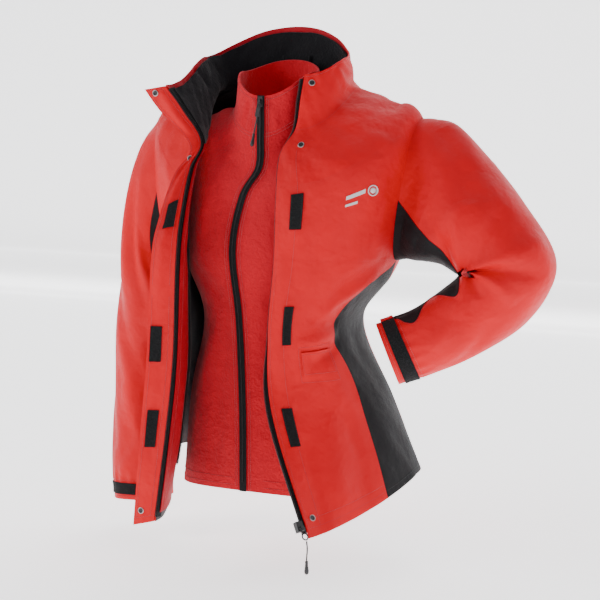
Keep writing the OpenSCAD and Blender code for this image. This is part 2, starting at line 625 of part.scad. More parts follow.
module left_fleece_lower_sleeve() fleece_lower(1);
module right_fleece_lower_sleeve() fleece_lower(-1);
module left_cuff_band() cuff_band(1);
module right_cuff_band() cuff_band(-1);
module left_cuff_tab() cuff_tab(1);
module right_cuff_tab() cuff_tab(-1);

back_panel();
left_side_panel();
right_side_panel();
left_chest_panel();
right_chest_panel();
collar_shell();
collar_lining();
back_lining();
hanger_loop();
chest_badge();
chest_loop_patch();
collar_snaps();
left_zip_tape_upper();
right_zip_tape_upper();
storm_flap_upper();
storm_flap_upper_patch();
storm_flap_upper_snaps();
fleece_left_front();
fleece_right_front();
fleece_back();
fleece_collar();
fleece_zip_tape();
fleece_zip_teeth();
fleece_zip_slider();
fleece_pull_tab();
fleece_pull_cord();
fleece_pull_end();
left_front_panel();
left_facing();
left_zip_tape();
front_loop_patches();
left_hem_snap();
left_pocket_flap();
main_zip_slider();
main_pull_ring();
main_pull_cord();
main_pull_end();
right_front_panel();
right_facing();
right_zip_tape();
connection_zip();
right_pocket_flap();
storm_flap();
storm_flap_patches();
storm_flap_hem_snap();
left_upper_sleeve();
left_fleece_upper_sleeve();
left_lower_sleeve();
left_fleece_lower_sleeve();
left_forearm_panel();
left_cuff_band();
left_cuff_tab();
right_upper_sleeve();
right_fleece_upper_sleeve();
right_lower_sleeve();
right_fleece_lower_sleeve();
right_forearm_panel();
right_cuff_band();
right_cuff_tab();
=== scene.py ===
import json
import math

import bpy
import numpy as np
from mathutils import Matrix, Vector


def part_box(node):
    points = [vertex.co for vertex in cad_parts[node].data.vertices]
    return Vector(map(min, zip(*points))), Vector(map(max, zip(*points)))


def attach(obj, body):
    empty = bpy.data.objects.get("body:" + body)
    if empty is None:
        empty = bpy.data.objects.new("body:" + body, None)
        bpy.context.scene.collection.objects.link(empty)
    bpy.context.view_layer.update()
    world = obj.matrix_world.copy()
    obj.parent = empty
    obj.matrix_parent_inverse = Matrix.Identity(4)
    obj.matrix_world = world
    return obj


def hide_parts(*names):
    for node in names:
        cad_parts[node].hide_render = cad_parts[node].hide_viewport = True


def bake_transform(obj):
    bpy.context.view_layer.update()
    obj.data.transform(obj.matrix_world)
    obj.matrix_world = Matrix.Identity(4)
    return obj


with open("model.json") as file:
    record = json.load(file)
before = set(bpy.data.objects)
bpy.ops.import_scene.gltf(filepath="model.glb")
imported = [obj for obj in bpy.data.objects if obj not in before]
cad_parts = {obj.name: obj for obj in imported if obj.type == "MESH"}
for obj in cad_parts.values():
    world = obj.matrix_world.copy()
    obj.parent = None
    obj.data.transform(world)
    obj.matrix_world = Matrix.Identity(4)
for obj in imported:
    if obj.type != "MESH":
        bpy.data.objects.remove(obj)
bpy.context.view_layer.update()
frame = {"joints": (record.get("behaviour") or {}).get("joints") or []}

# ---- The camera ----
# It stands a little to the wearer's left of the jacket's front and just above its middle,
# with a long lens, as a garment is shot for a catalogue.
camera = bpy.data.objects.new("camera", bpy.data.cameras.new("camera"))
bpy.context.collection.objects.link(camera)
camera.data.lens = 94.4
camera.location = (1.178, -2.559, .111)
look = Vector((.054, -.033, -.327)) - camera.location
camera.rotation_euler = look.to_track_quat("-Z", "Y").to_euler()
bpy.context.scene.camera = camera


# ---- The pull cords ----
# Two short braided cords, each tied through a zip pull and ended in a moulded black teardrop.
# A cord is a tube along its own line; a teardrop is turned on a lathe.
class Number:
    """A number that changes over a surface. An expression on these adds its Math nodes."""

    def __init__(self, finish, socket):
        self.finish, self.socket = finish, socket

    def __add__(self, other): return self.finish.sum("ADD", self, other)
    def __sub__(self, other): return self.finish.sum("SUBTRACT", self, other)
    def __rsub__(self, other): return self.finish.sum("SUBTRACT", other, self)
    def __mul__(self, other): return self.finish.sum("MULTIPLY", self, other)
    def __truediv__(self, other): return self.finish.sum("DIVIDE", self, other)
    def __abs__(self): return self.finish.sum("ABSOLUTE", self)
    def sine(self): return self.finish.sum("SINE", self)

    def ramp(self, low, high):
        """0 below low, 1 above high, smooth between them."""
        return Number(self.finish, self.finish.node(
            "ShaderNodeMapRange", {"interpolation_type": "SMOOTHSTEP"},
            {"Value": self, "From Min": low, "From Max": high}).outputs[0])

    __radd__ = __add__
    __rmul__ = __mul__


class Finish:
    """One material: a Principled shader with constants on its own sockets and nodes for what varies."""

    def __init__(self, name, colour, roughness, **constants):
        self.material = bpy.data.materials.new(name)
        self.material.use_nodes = True
        self.tree = self.material.node_tree
        self.shader = self.tree.nodes["Principled BSDF"]
        self.colour, self.roughness = colour, roughness
        self.shader.inputs["Base Color"].default_value = (*colour, 1)
        self.shader.inputs["Roughness"].default_value = roughness
        for key, value in constants.items():
            self.shader.inputs[key.replace("_", " ").title().replace("Ior", "IOR")].default_value = value
        self.height = None

    def node(self, kind, settings=None, inputs=None):
        made = self.tree.nodes.new(kind)
        for key, value in (settings or {}).items():
            setattr(made, key, value)
        for key, value in (inputs or {}).items():
            self.put(made.inputs[key], value)
        return made

    def put(self, socket, value):
        value = value.socket if isinstance(value, Number) else value
        if isinstance(value, bpy.types.NodeSocket):
            self.tree.links.new(value, socket)
        elif socket.type == "RGBA":
            socket.default_value = (*value[:3], 1)
        else:
            socket.default_value = value

    def sum(self, operation, a, b=0.0):
        return Number(self, self.node("ShaderNodeMath", {"operation": operation}, {0: a, 1: b}).outputs[0])

    def place(self, scale=1.0):
        """Object coordinates, in metres times the scale."""
        spot = self.node("ShaderNodeTexCoord").outputs["Object"]
        scaled = self.node("ShaderNodeVectorMath", {"operation": "SCALE"}, {0: spot, "Scale": scale})
        return scaled.outputs[0]

    def map(self, name="cloth"):
        """The two numbers of one of the piece's own UV maps."""
        parts = self.node("ShaderNodeSeparateXYZ", None,
                          {0: self.node("ShaderNodeUVMap", {"uv_map": name}).outputs[0]})
        return Number(self, parts.outputs[0]), Number(self, parts.outputs[1])

    def noise(self, scale, detail=2.0, rough=.5, at=None):
        return Number(self, self.node("ShaderNodeTexNoise", None, {
            "Vector": at or self.place(), "Scale": scale, "Detail": detail, "Roughness": rough}).outputs[0])

    def blend(self, share, a, b):
        """Colour a where share is 0, colour b where it is 1."""
        return self.node("ShaderNodeMix", {"data_type": "RGBA"}, {0: share, 6: a, 7: b}).outputs[2]

    def paint(self, colour=None, roughness=None):
        if colour is not None:
            self.put(self.shader.inputs["Base Color"], colour)
        if roughness is not None:
            self.put(self.shader.inputs["Roughness"], roughness)

    def relief(self, height, depth=.001):
        """Adds a height, in shares of the depth in metres, to the surface's bumps."""
        made = self.node("ShaderNodeBump", None, {"Height": height, "Distance": depth, "Strength": 1.0})
        if self.height is not None:
            self.put(made.inputs["Normal"], self.height)
        self.height = made.outputs[0]
        self.put(self.shader.inputs["Normal"], self.height)


def weave(finish, threads, depth, name="cloth"):
    """Crossed threads: sin(x) times sin(y) of the cloth's own map, threads to the metre."""
    x, y = finish.map(name)
    turn = math.pi * threads
    finish.relief((x * turn).sine() * (y * turn).sine(), depth)


def shade(colour, by):
    return tuple(c * by for c in colour)


black = (.012, .012, .013)


def mesh_object(name, points, faces, body=None, paints=()):
    """An object in metres from an array of points in millimetres and lists of corners."""
    data = bpy.data.meshes.new(name)
    data.from_pydata((np.asarray(points, float).reshape(-1, 3) / 1000).tolist(), [], faces)
    for p in paints:
        data.materials.append(p.material)
    data.polygons.foreach_set("use_smooth", np.ones(len(data.polygons), bool))
    data.update()
    made = bpy.data.objects.new(name, data)
    bpy.context.collection.objects.link(made)
    if body:
        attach(made, body)
    return made


def unit(a):
    return a / np.linalg.norm(a, axis=-1, keepdims=True)


def tube_grid(line, radius, sides=12):
    """Rings of a radius (one number, or one for each point) around a line: point + r (x cos a + y sin a)."""
    line = np.asarray(line, float)
    along = unit(np.gradient(line, axis=0))
    aside = np.tile([1., 0, 0], (len(line), 1)) if abs(along[:, 0]).max() < .8 else np.tile(
        [0, 1., 0], (len(line), 1))
    x = unit(aside - (aside * along).sum(-1, keepdims=True) * along)
    y = np.cross(along, x)
    turn = np.linspace(0, 2 * np.pi, sides, endpoint=False)
    r = np.broadcast_to(np.asarray(radius, float).reshape(-1, 1, 1), (len(line), 1, 1))
    return line[:, None] + r * (x[:, None] * np.cos(turn)[:, None] + y[:, None] * np.sin(turn)[:, None])


def tube_faces(rings, sides, first=0):
    """Quads between rings that run from the first ring to the last, and a flat face on each end."""
    i, k = np.meshgrid(np.arange(rings - 1), np.arange(sides), indexing="ij")
    a, b = first + i * sides + k, first + i * sides + (k + 1) % sides
    quads = np.stack([a, b, b + sides, a + sides], -1).reshape(-1, 4).tolist()
    end = first + (rings - 1) * sides
    return quads + [list(range(first, first + sides))[::-1], list(range(end, end + sides))]


def smooth_line(points, count):
    """More points on a smooth curve through a few."""
    points = np.asarray(points, float)
    q = np.linspace(0, len(points) - 1, count)
    i = np.minimum(q.astype(int), len(points) - 2)
    t = (q - i)[:, None]
    b, d = points[i], points[i + 1]
    a = np.where(i[:, None] > 0, points[np.maximum(i - 1, 0)], 2 * b - d)
    e = np.where(i[:, None] < len(points) - 2, points[np.minimum(i + 2, len(points) - 1)], 2 * d - b)
    return .5 * (2 * b + (d - a) * t + (2 * a - 5 * b + 4 * d - e) * t**2 + (3 * b - a - 3 * d + e) * t**3)


cord_finish = Finish("braided_cord", black, .6, sheen_weight=.3)
braid = cord_finish.place(1000)
cord_finish.relief(cord_finish.noise(1.4, at=braid), .0004)
cord_finish.paint(cord_finish.blend(cord_finish.noise(.9, at=braid), black, (.03, .03, .032)))
moulded = Finish("moulded_black", black, .42)
speck = moulded.noise(900, 3)
moulded.relief(speck, .0002)
moulded.paint(moulded.blend(moulded.noise(60), black, (.02, .02, .021)), speck * .15 + .34)


joint_named = {j["name"]: j for j in frame["joints"]}


def pull_cord(name, cad_cord, cad_end, body, top, drops, way, end_radius):
    """A braided cord from its top point along its drops (aside, forward, down the way), and its end."""
    down = unit(np.asarray(way, float))
    line = top + drops * [1, 1, 0] + drops[:, 2:] * down
    cord = mesh_object(name, tube_grid(line, 1.3, 10), tube_faces(len(line), 10), body, [cord_finish])
    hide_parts(cad_cord)
    length = float(np.linalg.norm(np.diff(line, axis=0), axis=1).sum()) / 1000
    depth = np.array([0, .6, 2, 6, 12, 17, 20.5, 22.5, 23.8])
    girth = np.array([.5, .75, .62, .6, .78, 1, .92, .6, .05]) * end_radius
    end = mesh_object(name + "_end", tube_grid(line[-1] + depth[:, None] * down, girth, 24),
                      tube_faces(len(depth), 24), body, [moulded])
    finer = end.modifiers.new("rounded", "SUBSURF")
    finer.levels = finer.render_levels = 2
    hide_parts(cad_end)
    (line[0] / 1000).tolist()
    (line / 1000).tolist()


main_drops = smooth_line([[0, 0, 0], [.4, 0, 4], [.8, .2, 8], [1, .3, 12], [1, .3, 16], [.8, .2, 20],
                          [.5, 0, 24], [.2, -.2, 28], [0, -.2, 32], [0, 0, 34]], 28)
fleece_drops = smooth_line([[0, 0, 0], [.3, 0, 4], [.5, 0, 8], [.5, 0, 12], [.3, 0, 16], [0, 0, 20],
                            [-.3, 0, 24], [-.4, 0, 28], [-.2, 0, 31]], 28)
down_chest = np.array([0, -.42, -1]) / math.hypot(.42, 1)
main_hinge = np.array(joint_named["main_pull_swing"]["pos_m"]) * 1000
tape_up = np.array(joint_named["main_zip_slide"]["axis"])
fleece_hinge = np.array(joint_named["fleece_pull_swing"]["pos_m"]) * 1000
pull_cord("main_pull_braid", "main_pull_cord", "main_pull_end", "main_pull", main_hinge - 23.1 * tape_up,
          main_drops, [0, 0, -1], 4.2)
pull_cord("fleece_pull_braid", "fleece_pull_cord", "fleece_pull_end", "fleece_pull",
          fleece_hinge + 28 * down_chest, fleece_drops, down_chest, 3.6)


# ---- The shell's cloth ----
# A waterproof shell of red coated nylon, cut as a back, two fronts and charcoal side panels, with a
# dark drop lining. It is worn open and is filled out as if on a body, so it hangs in soft folds.
def through(table, v):
    """A smooth curve through a table's rows at row number v: a cubic between two rows, whose slope at
    each row is half the step between that row's neighbours."""
    rows = np.asarray(table, float)
    last = len(rows) - 1
    v = np.clip(v, 0, last)
    i = np.minimum(v.astype(int), last - 1)
    t = (v - i)[..., None]
    b, d = rows[i], rows[i + 1]
    a = np.where((i > 0)[..., None], rows[np.maximum(i - 1, 0)], 2 * b - d)
    e = np.where((i < last - 1)[..., None], rows[np.minimum(i + 2, last)], 2 * d - b)
    return .5 * (2 * b + (d - a) * t + (2 * a - 5 * b + 4 * d - e) * t**2 + (3 * b - a - 3 * d + e) * t**3)


# Stations: collar top, mid collar, neck, yoke, shoulder, chest, waist, hip, hem.
# Left half width, right half width, back depth, side y, side z, back z.
shell_rings = [[128, 150, 84, -5, 100, 155], [134, 140, 84, 10, 75, 112], [139, 130, 86, 20, 48, 62],
               [195, 185, 112, 22, 28, 15], [258, 248, 130, 20, -26, -80], [222, 220, 140, 5, -250, -245],
               [152, 160, 125, 0, -365, -365], [210, 190, 135, 0, -500, -500],
               [266, 225, 150, 0, -630, -655]]
# The front edges: place, and the heading of the cloth as it leaves the edge.
left_edge = [[75, -60, 72, 25], [74, -76, 30, 15], [72, -92, -20, 10], [57, -122, -62, 0],
             [62, -150, -130, 0], [63, -162, -240, 0], [54, -168, -375, 10], [72, -190, -500, 40],
             [168, -250, -689, 66]]
right_edge = [[-168, -115, 52, 110], [-135, -112, 8, 100], [-103, -110, -45, 75], [-108, -140, -90, 80],
              [-100, -190, -165, 85], [-97, -215, -240, 88], [-100, -225, -410, 88],
              [-107, -240, -534, 92], [-122, -258, -693, 96]]
fullness = [[.42, .42]] * 7 + [[.38, .36], [.30, .26]]
side_u, arm_v, arm_du, arm_dv = .3, 4.42, .055, .58
side_seam = [[.262], [.252], [.205], [.185], [.205], [.202], [.198], [.191]]


def smooth(t):
    t = np.clip(t, 0, 1)
    return t * t * (3 - 2 * t)


def mix(a, b, t):
    return a * (1 - t) + b * t


def front_half(edge, side, full, hand, t):
    """A Bezier curve from the front edge round to the side line: it leaves the edge along its heading
    and meets the side running straight back."""
    p, heading = edge[..., :3], np.radians(edge[..., 3])
    reach = np.linalg.norm((side - p)[..., :2], axis=-1)
    zero = 0 * reach
    way = np.stack([hand * np.cos(heading), np.sin(heading), zero], -1)
    p1 = p + (full[..., 0] * reach)[..., None] * way
    p2 = side + np.stack([zero, -full[..., 1] * reach, (p[..., 2] - side[..., 2]) / 4], -1)
    t = t[..., None]
    s = 1 - t
    return s**3 * p + 3 * s * s * t * p1 + 3 * s * t * t * p2 + t**3 * side


def plain_shell(u, v):
    """The shell at share u of the way round, from the left edge over the back to the right edge, and
    station v. The back is a superellipse of power 2.2."""
    u, v = np.broadcast_arrays(np.asarray(u, float), np.asarray(v, float))
    r, full = through(shell_rings, v), through(fullness, v)
    left, right, deep, y, z, back_z = (r[..., k] for k in range(6))
    turn = np.clip((u - side_u) / (1 - 2 * side_u), 0, 1) * np.pi
    c, s = np.cos(turn), np.abs(np.sin(turn))
    back = np.stack([np.where(c > 0, left, right) * np.sign(c) * np.abs(c)**(1 / 1.1),
                     y + (deep - y) * s**(1 / 1.1), z + (back_z - z) * s**2], -1)
    a = front_half(through(left_edge, v), np.stack([left, y, z], -1), full, 1, np.clip(u / side_u, 0, 1))
    b = front_half(through(right_edge, v), np.stack([-right, y, z], -1), full, -1,
                   np.clip((1 - u) / side_u, 0, 1))
    return np.where((u < side_u)[..., None], a, np.where((u > 1 - side_u)[..., None], b, back))


def outward(surface, a, b, hand=1):
    """The unit normal: the step down the cloth crossed with the step round it."""
    e = 1e-3
    down, round_by = surface(a, b + e) - surface(a, b - e), surface(a + e, b) - surface(a - e, b)
    return hand * unit(np.cross(down, round_by))


def creases(a, b, rows, wide, tall):
    """Soft ridges and hollows. Each row is two ends (a, b), a half width and a height in millimetres;
    the height falls off as exp(-(distance / width)^2) from the line and fades to nothing at both ends.
    wide and tall are the millimetres in one unit of a and of b."""
    total = np.zeros(np.broadcast(a, b).shape)
    for a0, b0, a1, b1, width, height in rows:
        dx, dy = (a1 - a0) * wide, (b1 - b0) * tall
        px, py = (a - a0) * wide, (b - b0) * tall
        t = (px * dx + py * dy) / (dx * dx + dy * dy)
        c = np.clip(t, 0, 1)
        away = (px - c * dx)**2 + (py - c * dy)**2
        total = total + height * np.exp(-away / width**2) * (1 - (2 * np.clip(t, 0, 1) - 1)**4)
    return total


shell_folds = [
    # fullness over the tops of the armholes
    [.3, 3.35, .3, 4.25, 30, 8], [.7, 3.35, .7, 4.25, 30, 7],
    # the left front: pulls from the armhole, the waist and the hem
    [.252, 4.95, .13, 5.45, 13, -4], [.25, 5.15, .11, 5.8, 12, 4], [.20, 5.9, .09, 5.72, 11, -3.5],
    [.205, 6.02, .07, 6.08, 12, 4], [.205, 6.14, .09, 6.42, 12, -4], [.02, 4.9, .03, 7.5, 18, 3],
    [.06, 3.1, .20, 4.5, 30, 3], [.12, 7.0, .10, 7.95, 26, 4], [.05, 7.2, .045, 8, 14, -3],
    [.16, 6.9, .15, 8, 18, -3], [.09, 4.2, .05, 5.6, 22, -2.5], [.19, 3.2, .235, 3.9, 12, -2],
    # the back: a hollow down the waist and folds that fan out from it
    [.5, 4.6, .5, 6.9, 34, -6], [.41, 3.2, .40, 5.2, 30, 4], [.59, 3.2, .60, 5.2, 30, 4],
    [.36, 5.9, .47, 6.15, 14, 5], [.64, 5.9, .53, 6.15, 14, 5], [.37, 6.3, .46, 6.05, 12, -4],
    [.63, 6.3, .54, 6.05, 12, -4], [.43, 6.6, .41, 8, 24, 6], [.57, 6.6, .59, 8, 24, 6],
    [.5, 7, .5, 8, 20, 3], [.35, 4.2, .43, 4.9, 14, -4], [.65, 4.2, .57, 4.9, 14, -4],
    # the right front
    [.75, 5.0, .88, 5.5, 13, -4], [.79, 6.0, .9, 5.8, 12, 4], [.79, 6.15, .9, 6.4, 12, -4],
    [.95, 3.2, .94, 5.2, 20, 3], [.9, 6.8, .91, 7.95, 24, 4], [.96, 6.2, .955, 7.6, 16, -3],
    # the collar slouches a little
    [.2, .2, .24, 1.7, 20, 3], [.36, .3, .33, 1.8, 22, -3], [.5, .2, .52, 1.6, 24, 3],
    [.68, .2, .66, 1.6, 22, -3], [.8, .1, .78, 1.5, 18, 3],
]


def shell(u, v):
    """The shell with its folds, and with a slow ripple of under a millimetre all over. Past its edges
    it stays on them, so a slope there is one-sided."""
    u, v = np.broadcast_arrays(np.clip(u, 0., 1.), np.clip(v, 0., 8.))
    ripple = .7 * np.sin(61 * u + 2.3 * v + 1) * np.sin(3.1 * v - 9 * u) + .4 * np.sin(113 * u - 6.1 * v)
    edge = np.minimum(np.minimum(u, 1 - u) / .012, 1)
    fold = creases(u, v, shell_folds, 1050, 115) + ripple * edge
    return plain_shell(u, v) + fold[..., None] * outward(plain_shell, u, v)


def armhole(v):
    return arm_du * np.sqrt(np.maximum(0, 1 - ((v - arm_v) / arm_dv)**2))


def front_side(v):
    """The front panel's side seam: round the armhole, then in towards the front below it."""
    low = mix(side_u, through(side_seam, (v - 4.5) * 2)[..., 0],
              np.clip((v - arm_v - arm_dv) / (5.25 - arm_v - arm_dv), 0, 1))
    return np.where(v < arm_v + arm_dv, side_u - armhole(v), low)


def back_side(v):
    return np.where(v < arm_v + arm_dv, side_u + armhole(v),
                    side_u + .045 * smooth((v - arm_v - arm_dv) / .6))


def cloth(name, surface, across, down, wall, paints, hand=1, wrap=False, lift=0., edge=.9):
    """A sheet with two faces. Its outside is surface(s, t) for s, t from 0 to 1, moved by lift along the
    normal, and its inside lies the wall deeper. Near a free edge it swells by edge, as a turned hem does.
    The "cloth" map holds metres along the cloth."""
    s = np.linspace(0, 1, across + 1)[:across + (not wrap)]
    t = np.linspace(0, 1, down + 1)
    s, t = np.meshgrid(s, t)
    p, n = surface(s, t), outward(surface, s, t, hand)
    rows, columns = s.shape
    rim = np.minimum(t, 1 - t) * down if wrap else np.minimum(np.minimum(t, 1 - t) * down,
                                                              np.minimum(s, 1 - s) * across)
    swell = edge * np.clip(1 - abs(rim - 1.2) / 1.6, 0, 1)
    outside = p + (lift + swell)[..., None] * n
    inside = p + (lift - wall - swell)[..., None] * n
    points = np.concatenate([outside.reshape(-1, 3), inside.reshape(-1, 3)])
    low = rows * columns
    j, i = np.meshgrid(np.arange(rows - 1), np.arange(across), indexing="ij")
    k = (i + 1) % columns
    a, b, c, d = j * columns + i, j * columns + k, (j + 1) * columns + k, (j + 1) * columns + i
    outer = np.stack([a, d, c, b], -1).reshape(-1, 4)
    inner = np.stack([a, b, c, d], -1).reshape(-1, 4) + low
    i = np.arange(across)
    k, last = (i + 1) % columns, (rows - 1) * columns
    rims = [np.stack([i, k, low + k, low + i], -1), np.stack([low + i, low + k, k, i], -1) + last]
    if not wrap:
        j = np.arange(rows - 1)
        a, b = j * columns, (j + 1) * columns
        rims += [np.stack([a, low + a, low + b, b], -1),
                 np.stack([b, low + b, low + a, a], -1) + columns - 1]
    rims = np.concatenate(rims)
    faces = np.concatenate([outer, inner, rims])
    if hand < 0:
        faces = faces[:, ::-1]
    made = mesh_object(name, points, faces.tolist(), None, paints)
    kind = np.repeat([0, min(1, len(paints) - 1), 0], [len(outer), len(inner), len(rims)])
    made.data.polygons.foreach_set("material_index", kind)
    steps_x = np.linalg.norm(np.diff(p, axis=1), axis=2).mean(0).cumsum()
    steps_y = np.linalg.norm(np.diff(p, axis=0), axis=2).mean(1).cumsum()
    x = np.concatenate([[0], steps_x, [2 * steps_x[-1] - steps_x[-2]]])[:across + 1] / 1000
    y = np.concatenate([[0], steps_y]) / 1000
    maps = [("cloth", x[None] + 0 * y[:, None], y[:, None] + 0 * x[None])]
    corner = np.empty(len(made.data.loops), int)
    made.data.loops.foreach_get("vertex_index", corner)
    corner = corner % low
    row, column = corner // columns, corner % columns
    if wrap:                       # the last cell's far corners lie on column `across`, not 0
        in_face = column.reshape(-1, 4)
        far = (in_face.max(1) == columns - 1)[:, None] & (in_face == 0)
        column = np.where(far, across, in_face).reshape(-1)
    for title, mx, my in maps:
        layer = made.data.uv_layers.new(name=title)
        spots = np.stack([mx[row, column], my[row, column]], -1).astype(np.float32)
        layer.data.foreach_set("uv", spots.ravel())
    normals = np.concatenate([n.reshape(-1, 3), -n.reshape(-1, 3)])
    loop_vertex = np.empty(len(made.data.loops), int)
    made.data.loops.foreach_get("vertex_index", loop_vertex)
    custom = normals[loop_vertex]
    custom[4 * (len(outer) + len(inner)):] = 0
    made.data.normals_split_custom_set(custom.tolist())
    return made


def between(from_u, to_u, v0, v1, surface=None):
    """A cut of a surface between two seams, each a share of the way round at station v."""
    surface = surface or shell

    def cut(s, t):
        v = mix(v0, v1, t)
        return surface(mix(from_u(v), to_u(v), s), v)
    return cut


def red_nylon(name, colour, tone, rough=.47):
    """Coated nylon: a fine plain weave, a slow change of tone, small puckers and a soft sheen."""
    made = Finish(name, colour, rough, sheen_weight=.01, sheen_roughness=.4, specular_ior_level=.16)
    spot = made.place()
    slow = made.noise(7, 3, .5, spot)
    made.paint(made.blend(slow.ramp(.3, .7), shade(colour, 1 - tone), shade(colour, 1 + tone)),
               made.noise(40, 2, .5, spot) * .16 + (rough - .08))
    made.relief(made.noise(16, 3, .55, spot), .006)
    made.relief(made.noise(75, 2, .5, spot), .0012)
    weave(made, 1100, .00012)
    return made


shell_colour = (.68, .0008, .008)
shell_red = red_nylon("shell_red", shell_colour, .07)
# The facing red is the shell nylon made darker: painted shade for the inside of the collar and the front
# facings.
shaded_facing_red = red_nylon("shaded_facing_red", (.40, .001, .010), .08, .52)
charcoal = red_nylon("charcoal_nylon", (.009, .0085, .0095), .12, .6)
lining = Finish("drop_lining", (.018, .017, .019), .62, sheen_weight=.1)
weave(lining, 600, .0003)
lining.relief(lining.noise(22, 3), .004)
lining.paint(lining.blend(lining.noise(9), (.014, .013, .015), (.03, .028, .031)))


def zero(v):
    return 0 * v


def one(v):
    return 0 * v + 1


def flip(seam):
    return lambda v: 1 - seam(v)


def bend_left(piece):
    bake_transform(piece)
    return piece


def bend_right(piece):
    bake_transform(piece)
    return piece


back = cloth("shell_back", between(back_side, flip(back_side), 2, 8), 130, 200, 2.4, [shell_red, lining])
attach(back, "torso")
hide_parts("back_panel")
for hand, side in ((1, "left"), (-1, "right")):
    low, high = (front_side, back_side) if hand > 0 else (flip(back_side), flip(front_side))
    panel = cloth(side + "_side", between(low, high, 5.02, 8), 44, 110, 2.4, [charcoal, lining],
                  edge=.4)
    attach(panel, "torso")
    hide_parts(side + "_side_panel")
    low, high = (zero, front_side) if hand > 0 else (flip(front_side), one)
    panel = cloth(side + "_front", between(low, high, 2, 8), 100, 220, 2.4, [shell_red, lining])
    (bend_left if hand > 0 else bend_right)(panel)
    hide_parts(side + "_chest_panel", side + "_front_panel")


# ---- The collar ----
# A tall stand collar of red nylon with a charcoal fleece lining set a little below its top edge, and a
# woven loop at the back of the neck to hang the jacket by.
def pile(name, colour, rough=.9, deep=.0016, tone=.12):
    """Brushed fleece: soft tufts at three sizes, a strong sheen and no shine."""
    made = Finish(name, colour, rough, sheen_weight=.1, sheen_roughness=.5, specular_ior_level=.15)
    spot = made.place()
    tuft = made.noise(260, 3, .6, spot)
    made.relief(made.noise(15, 3, .5, spot), .006)
    made.relief(made.noise(70, 2, .5, spot), .0022)
    made.relief(tuft, deep)
    soft = made.noise(12, 3, .5, spot) * .6 + tuft * .4
    made.paint(made.blend(soft.ramp(.3, .7), shade(colour, 1 - tone), shade(colour, 1 + tone)),
               tuft * .1 + (rough - .05))
    return made


def hold(piece, body, *nodes):
    """The piece rides on a body and stands for its CAD nodes."""
    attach(piece, body)
    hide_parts(*nodes)
    return piece


collar_pile = pile("collar_fleece", (.008, .0075, .009))
fleece_pile = pile("fleece_pile", (.6, .008, .02), .92)
# The collar's inside takes the darker facing red, which is painted shade.
collar = cloth("collar_outer", lambda s, t: shell(s, mix(.02, 2.01, t)), 260, 64, 2.4,
               [shell_red, shaded_facing_red])
hold(collar, "torso", "collar_shell")
collar_fill = cloth("collar_fleece_lining",
                    lambda s, t: shell(mix(.012, .988, s), mix(.22, 2.1, t)), 240, 44, 2.6,
                    [collar_pile], lift=-4.6)
hold(collar_fill, "torso", "collar_lining")
back_drop = cloth("back_drop_lining", lambda s, t: shell(mix(.36, .64, s), mix(2.15, 7.85, t)), 70, 150, 1.2,
                  [lining], lift=-7.4)
hold(back_drop, "torso", "back_lining")
tape_black = Finish("woven_tape", black, .7, specular_ior_level=.2)
weave(tape_black, 900, .0003)
tape_black.paint(tape_black.blend(tape_black.noise(120), (.004, .004, .0045), (.011, .011, .012)))
low, high = (np.array(c) * 1000 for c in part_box("hanger_loop"))
turn = np.linspace(np.pi, 2 * np.pi, 25)
loop_line = np.stack([26 * np.cos(turn), 0 * turn + (low[1] + high[1]) / 2, high[2] + 26 * np.sin(turn)], -1)
loop = mesh_object("neck_hanger_loop", tube_grid(loop_line, 1.7, 8), tube_faces(25, 8), None, [tape_black])
hold(loop, "torso", "hanger_loop")


# ---- The facings and the zip tapes ----
# Inside each front edge a strip of red nylon faces the lining, in a darker red that is painted shade. The
# two halves of the main zip are sewn under the edges, from the collar to the hem, and the fleece's
# connecting zip runs along the facing.
def front_edge(hand, v, past):
    """The point past millimetres beyond a front edge, square to it in the plane of the cloth."""
    u, e = (0., 1e-3) if hand > 0 else (1., 1e-3)
    p = shell(u, v)
    along = unit(shell(u, v + e) - shell(u, v - e))
    raw = p - shell(u + hand * .004, v)
    out = unit(raw - (raw * along).sum(-1, keepdims=True) * along)
    return p + past[..., None] * out


def left_reach(v):
    return 1 + 7 * smooth((v - 5.5) / 1.6) + 5 * (1 - smooth((v - 1.6) / 1.2))


def right_reach(v):
    return 2.5 + 0 * v


def tape_strip(hand, reach, wide, v0, v1):
    def strip(s, t):
        v = mix(v0, v1, t)
        return front_edge(hand, v, mix(reach(v), -wide, s) if hand > 0 else mix(-wide, reach(v), s))
    return strip


teeth_black = Finish("zip_teeth", (.012, .012, .013), .4)
teeth_black.paint(teeth_black.blend(teeth_black.noise(300), (.006, .006, .007), (.022, .022, .023)))


def strewn(name, place, along, up, shape, corners, faces, paints):
    """One mesh of many like pieces: each copy of the shape stands at a place, its x along the line, its z
    on the normal and its y across."""
    along, up = unit(along), unit(up)
    across = np.cross(up, along)
    points = (place[:, None] + shape[None, :, :1] * along[:, None] + shape[None, :, 1:2] * across[:, None]
              + shape[None, :, 2:] * up[:, None])
    all_faces = (np.asarray(faces)[None] + np.arange(len(place))[:, None, None] * len(shape))
    return mesh_object(name, points.reshape(-1, 3), all_faces.reshape(-1, corners).tolist(), None, paints)


def box_shape(x, y, z, taper=.7):
    """Eight corners of a block on z = 0 whose top is drawn in, and its six faces."""
    lower = np.array([[-1, -1], [1, -1], [1, 1], [-1, 1]]) * [x / 2, y / 2]
    return (np.concatenate([np.c_[lower, np.zeros(4)], np.c_[lower * taper, np.full(4, z)]]),
            [[0, 3, 2, 1], [4, 5, 6, 7], [0, 1, 5, 4], [1, 2, 6, 5], [2, 3, 7, 6], [3, 0, 4, 7]])


def paced(line, pitch):
    """Parameters along a line, from 0 to 1, that step it by about the pitch."""
    q = np.linspace(0, 1, 400)
    p = line(q)
    run = np.concatenate([[0], np.linalg.norm(np.diff(p, axis=0), axis=1).cumsum()])
    return np.interp(np.arange(pitch / 2, run[-1], pitch), run, q)


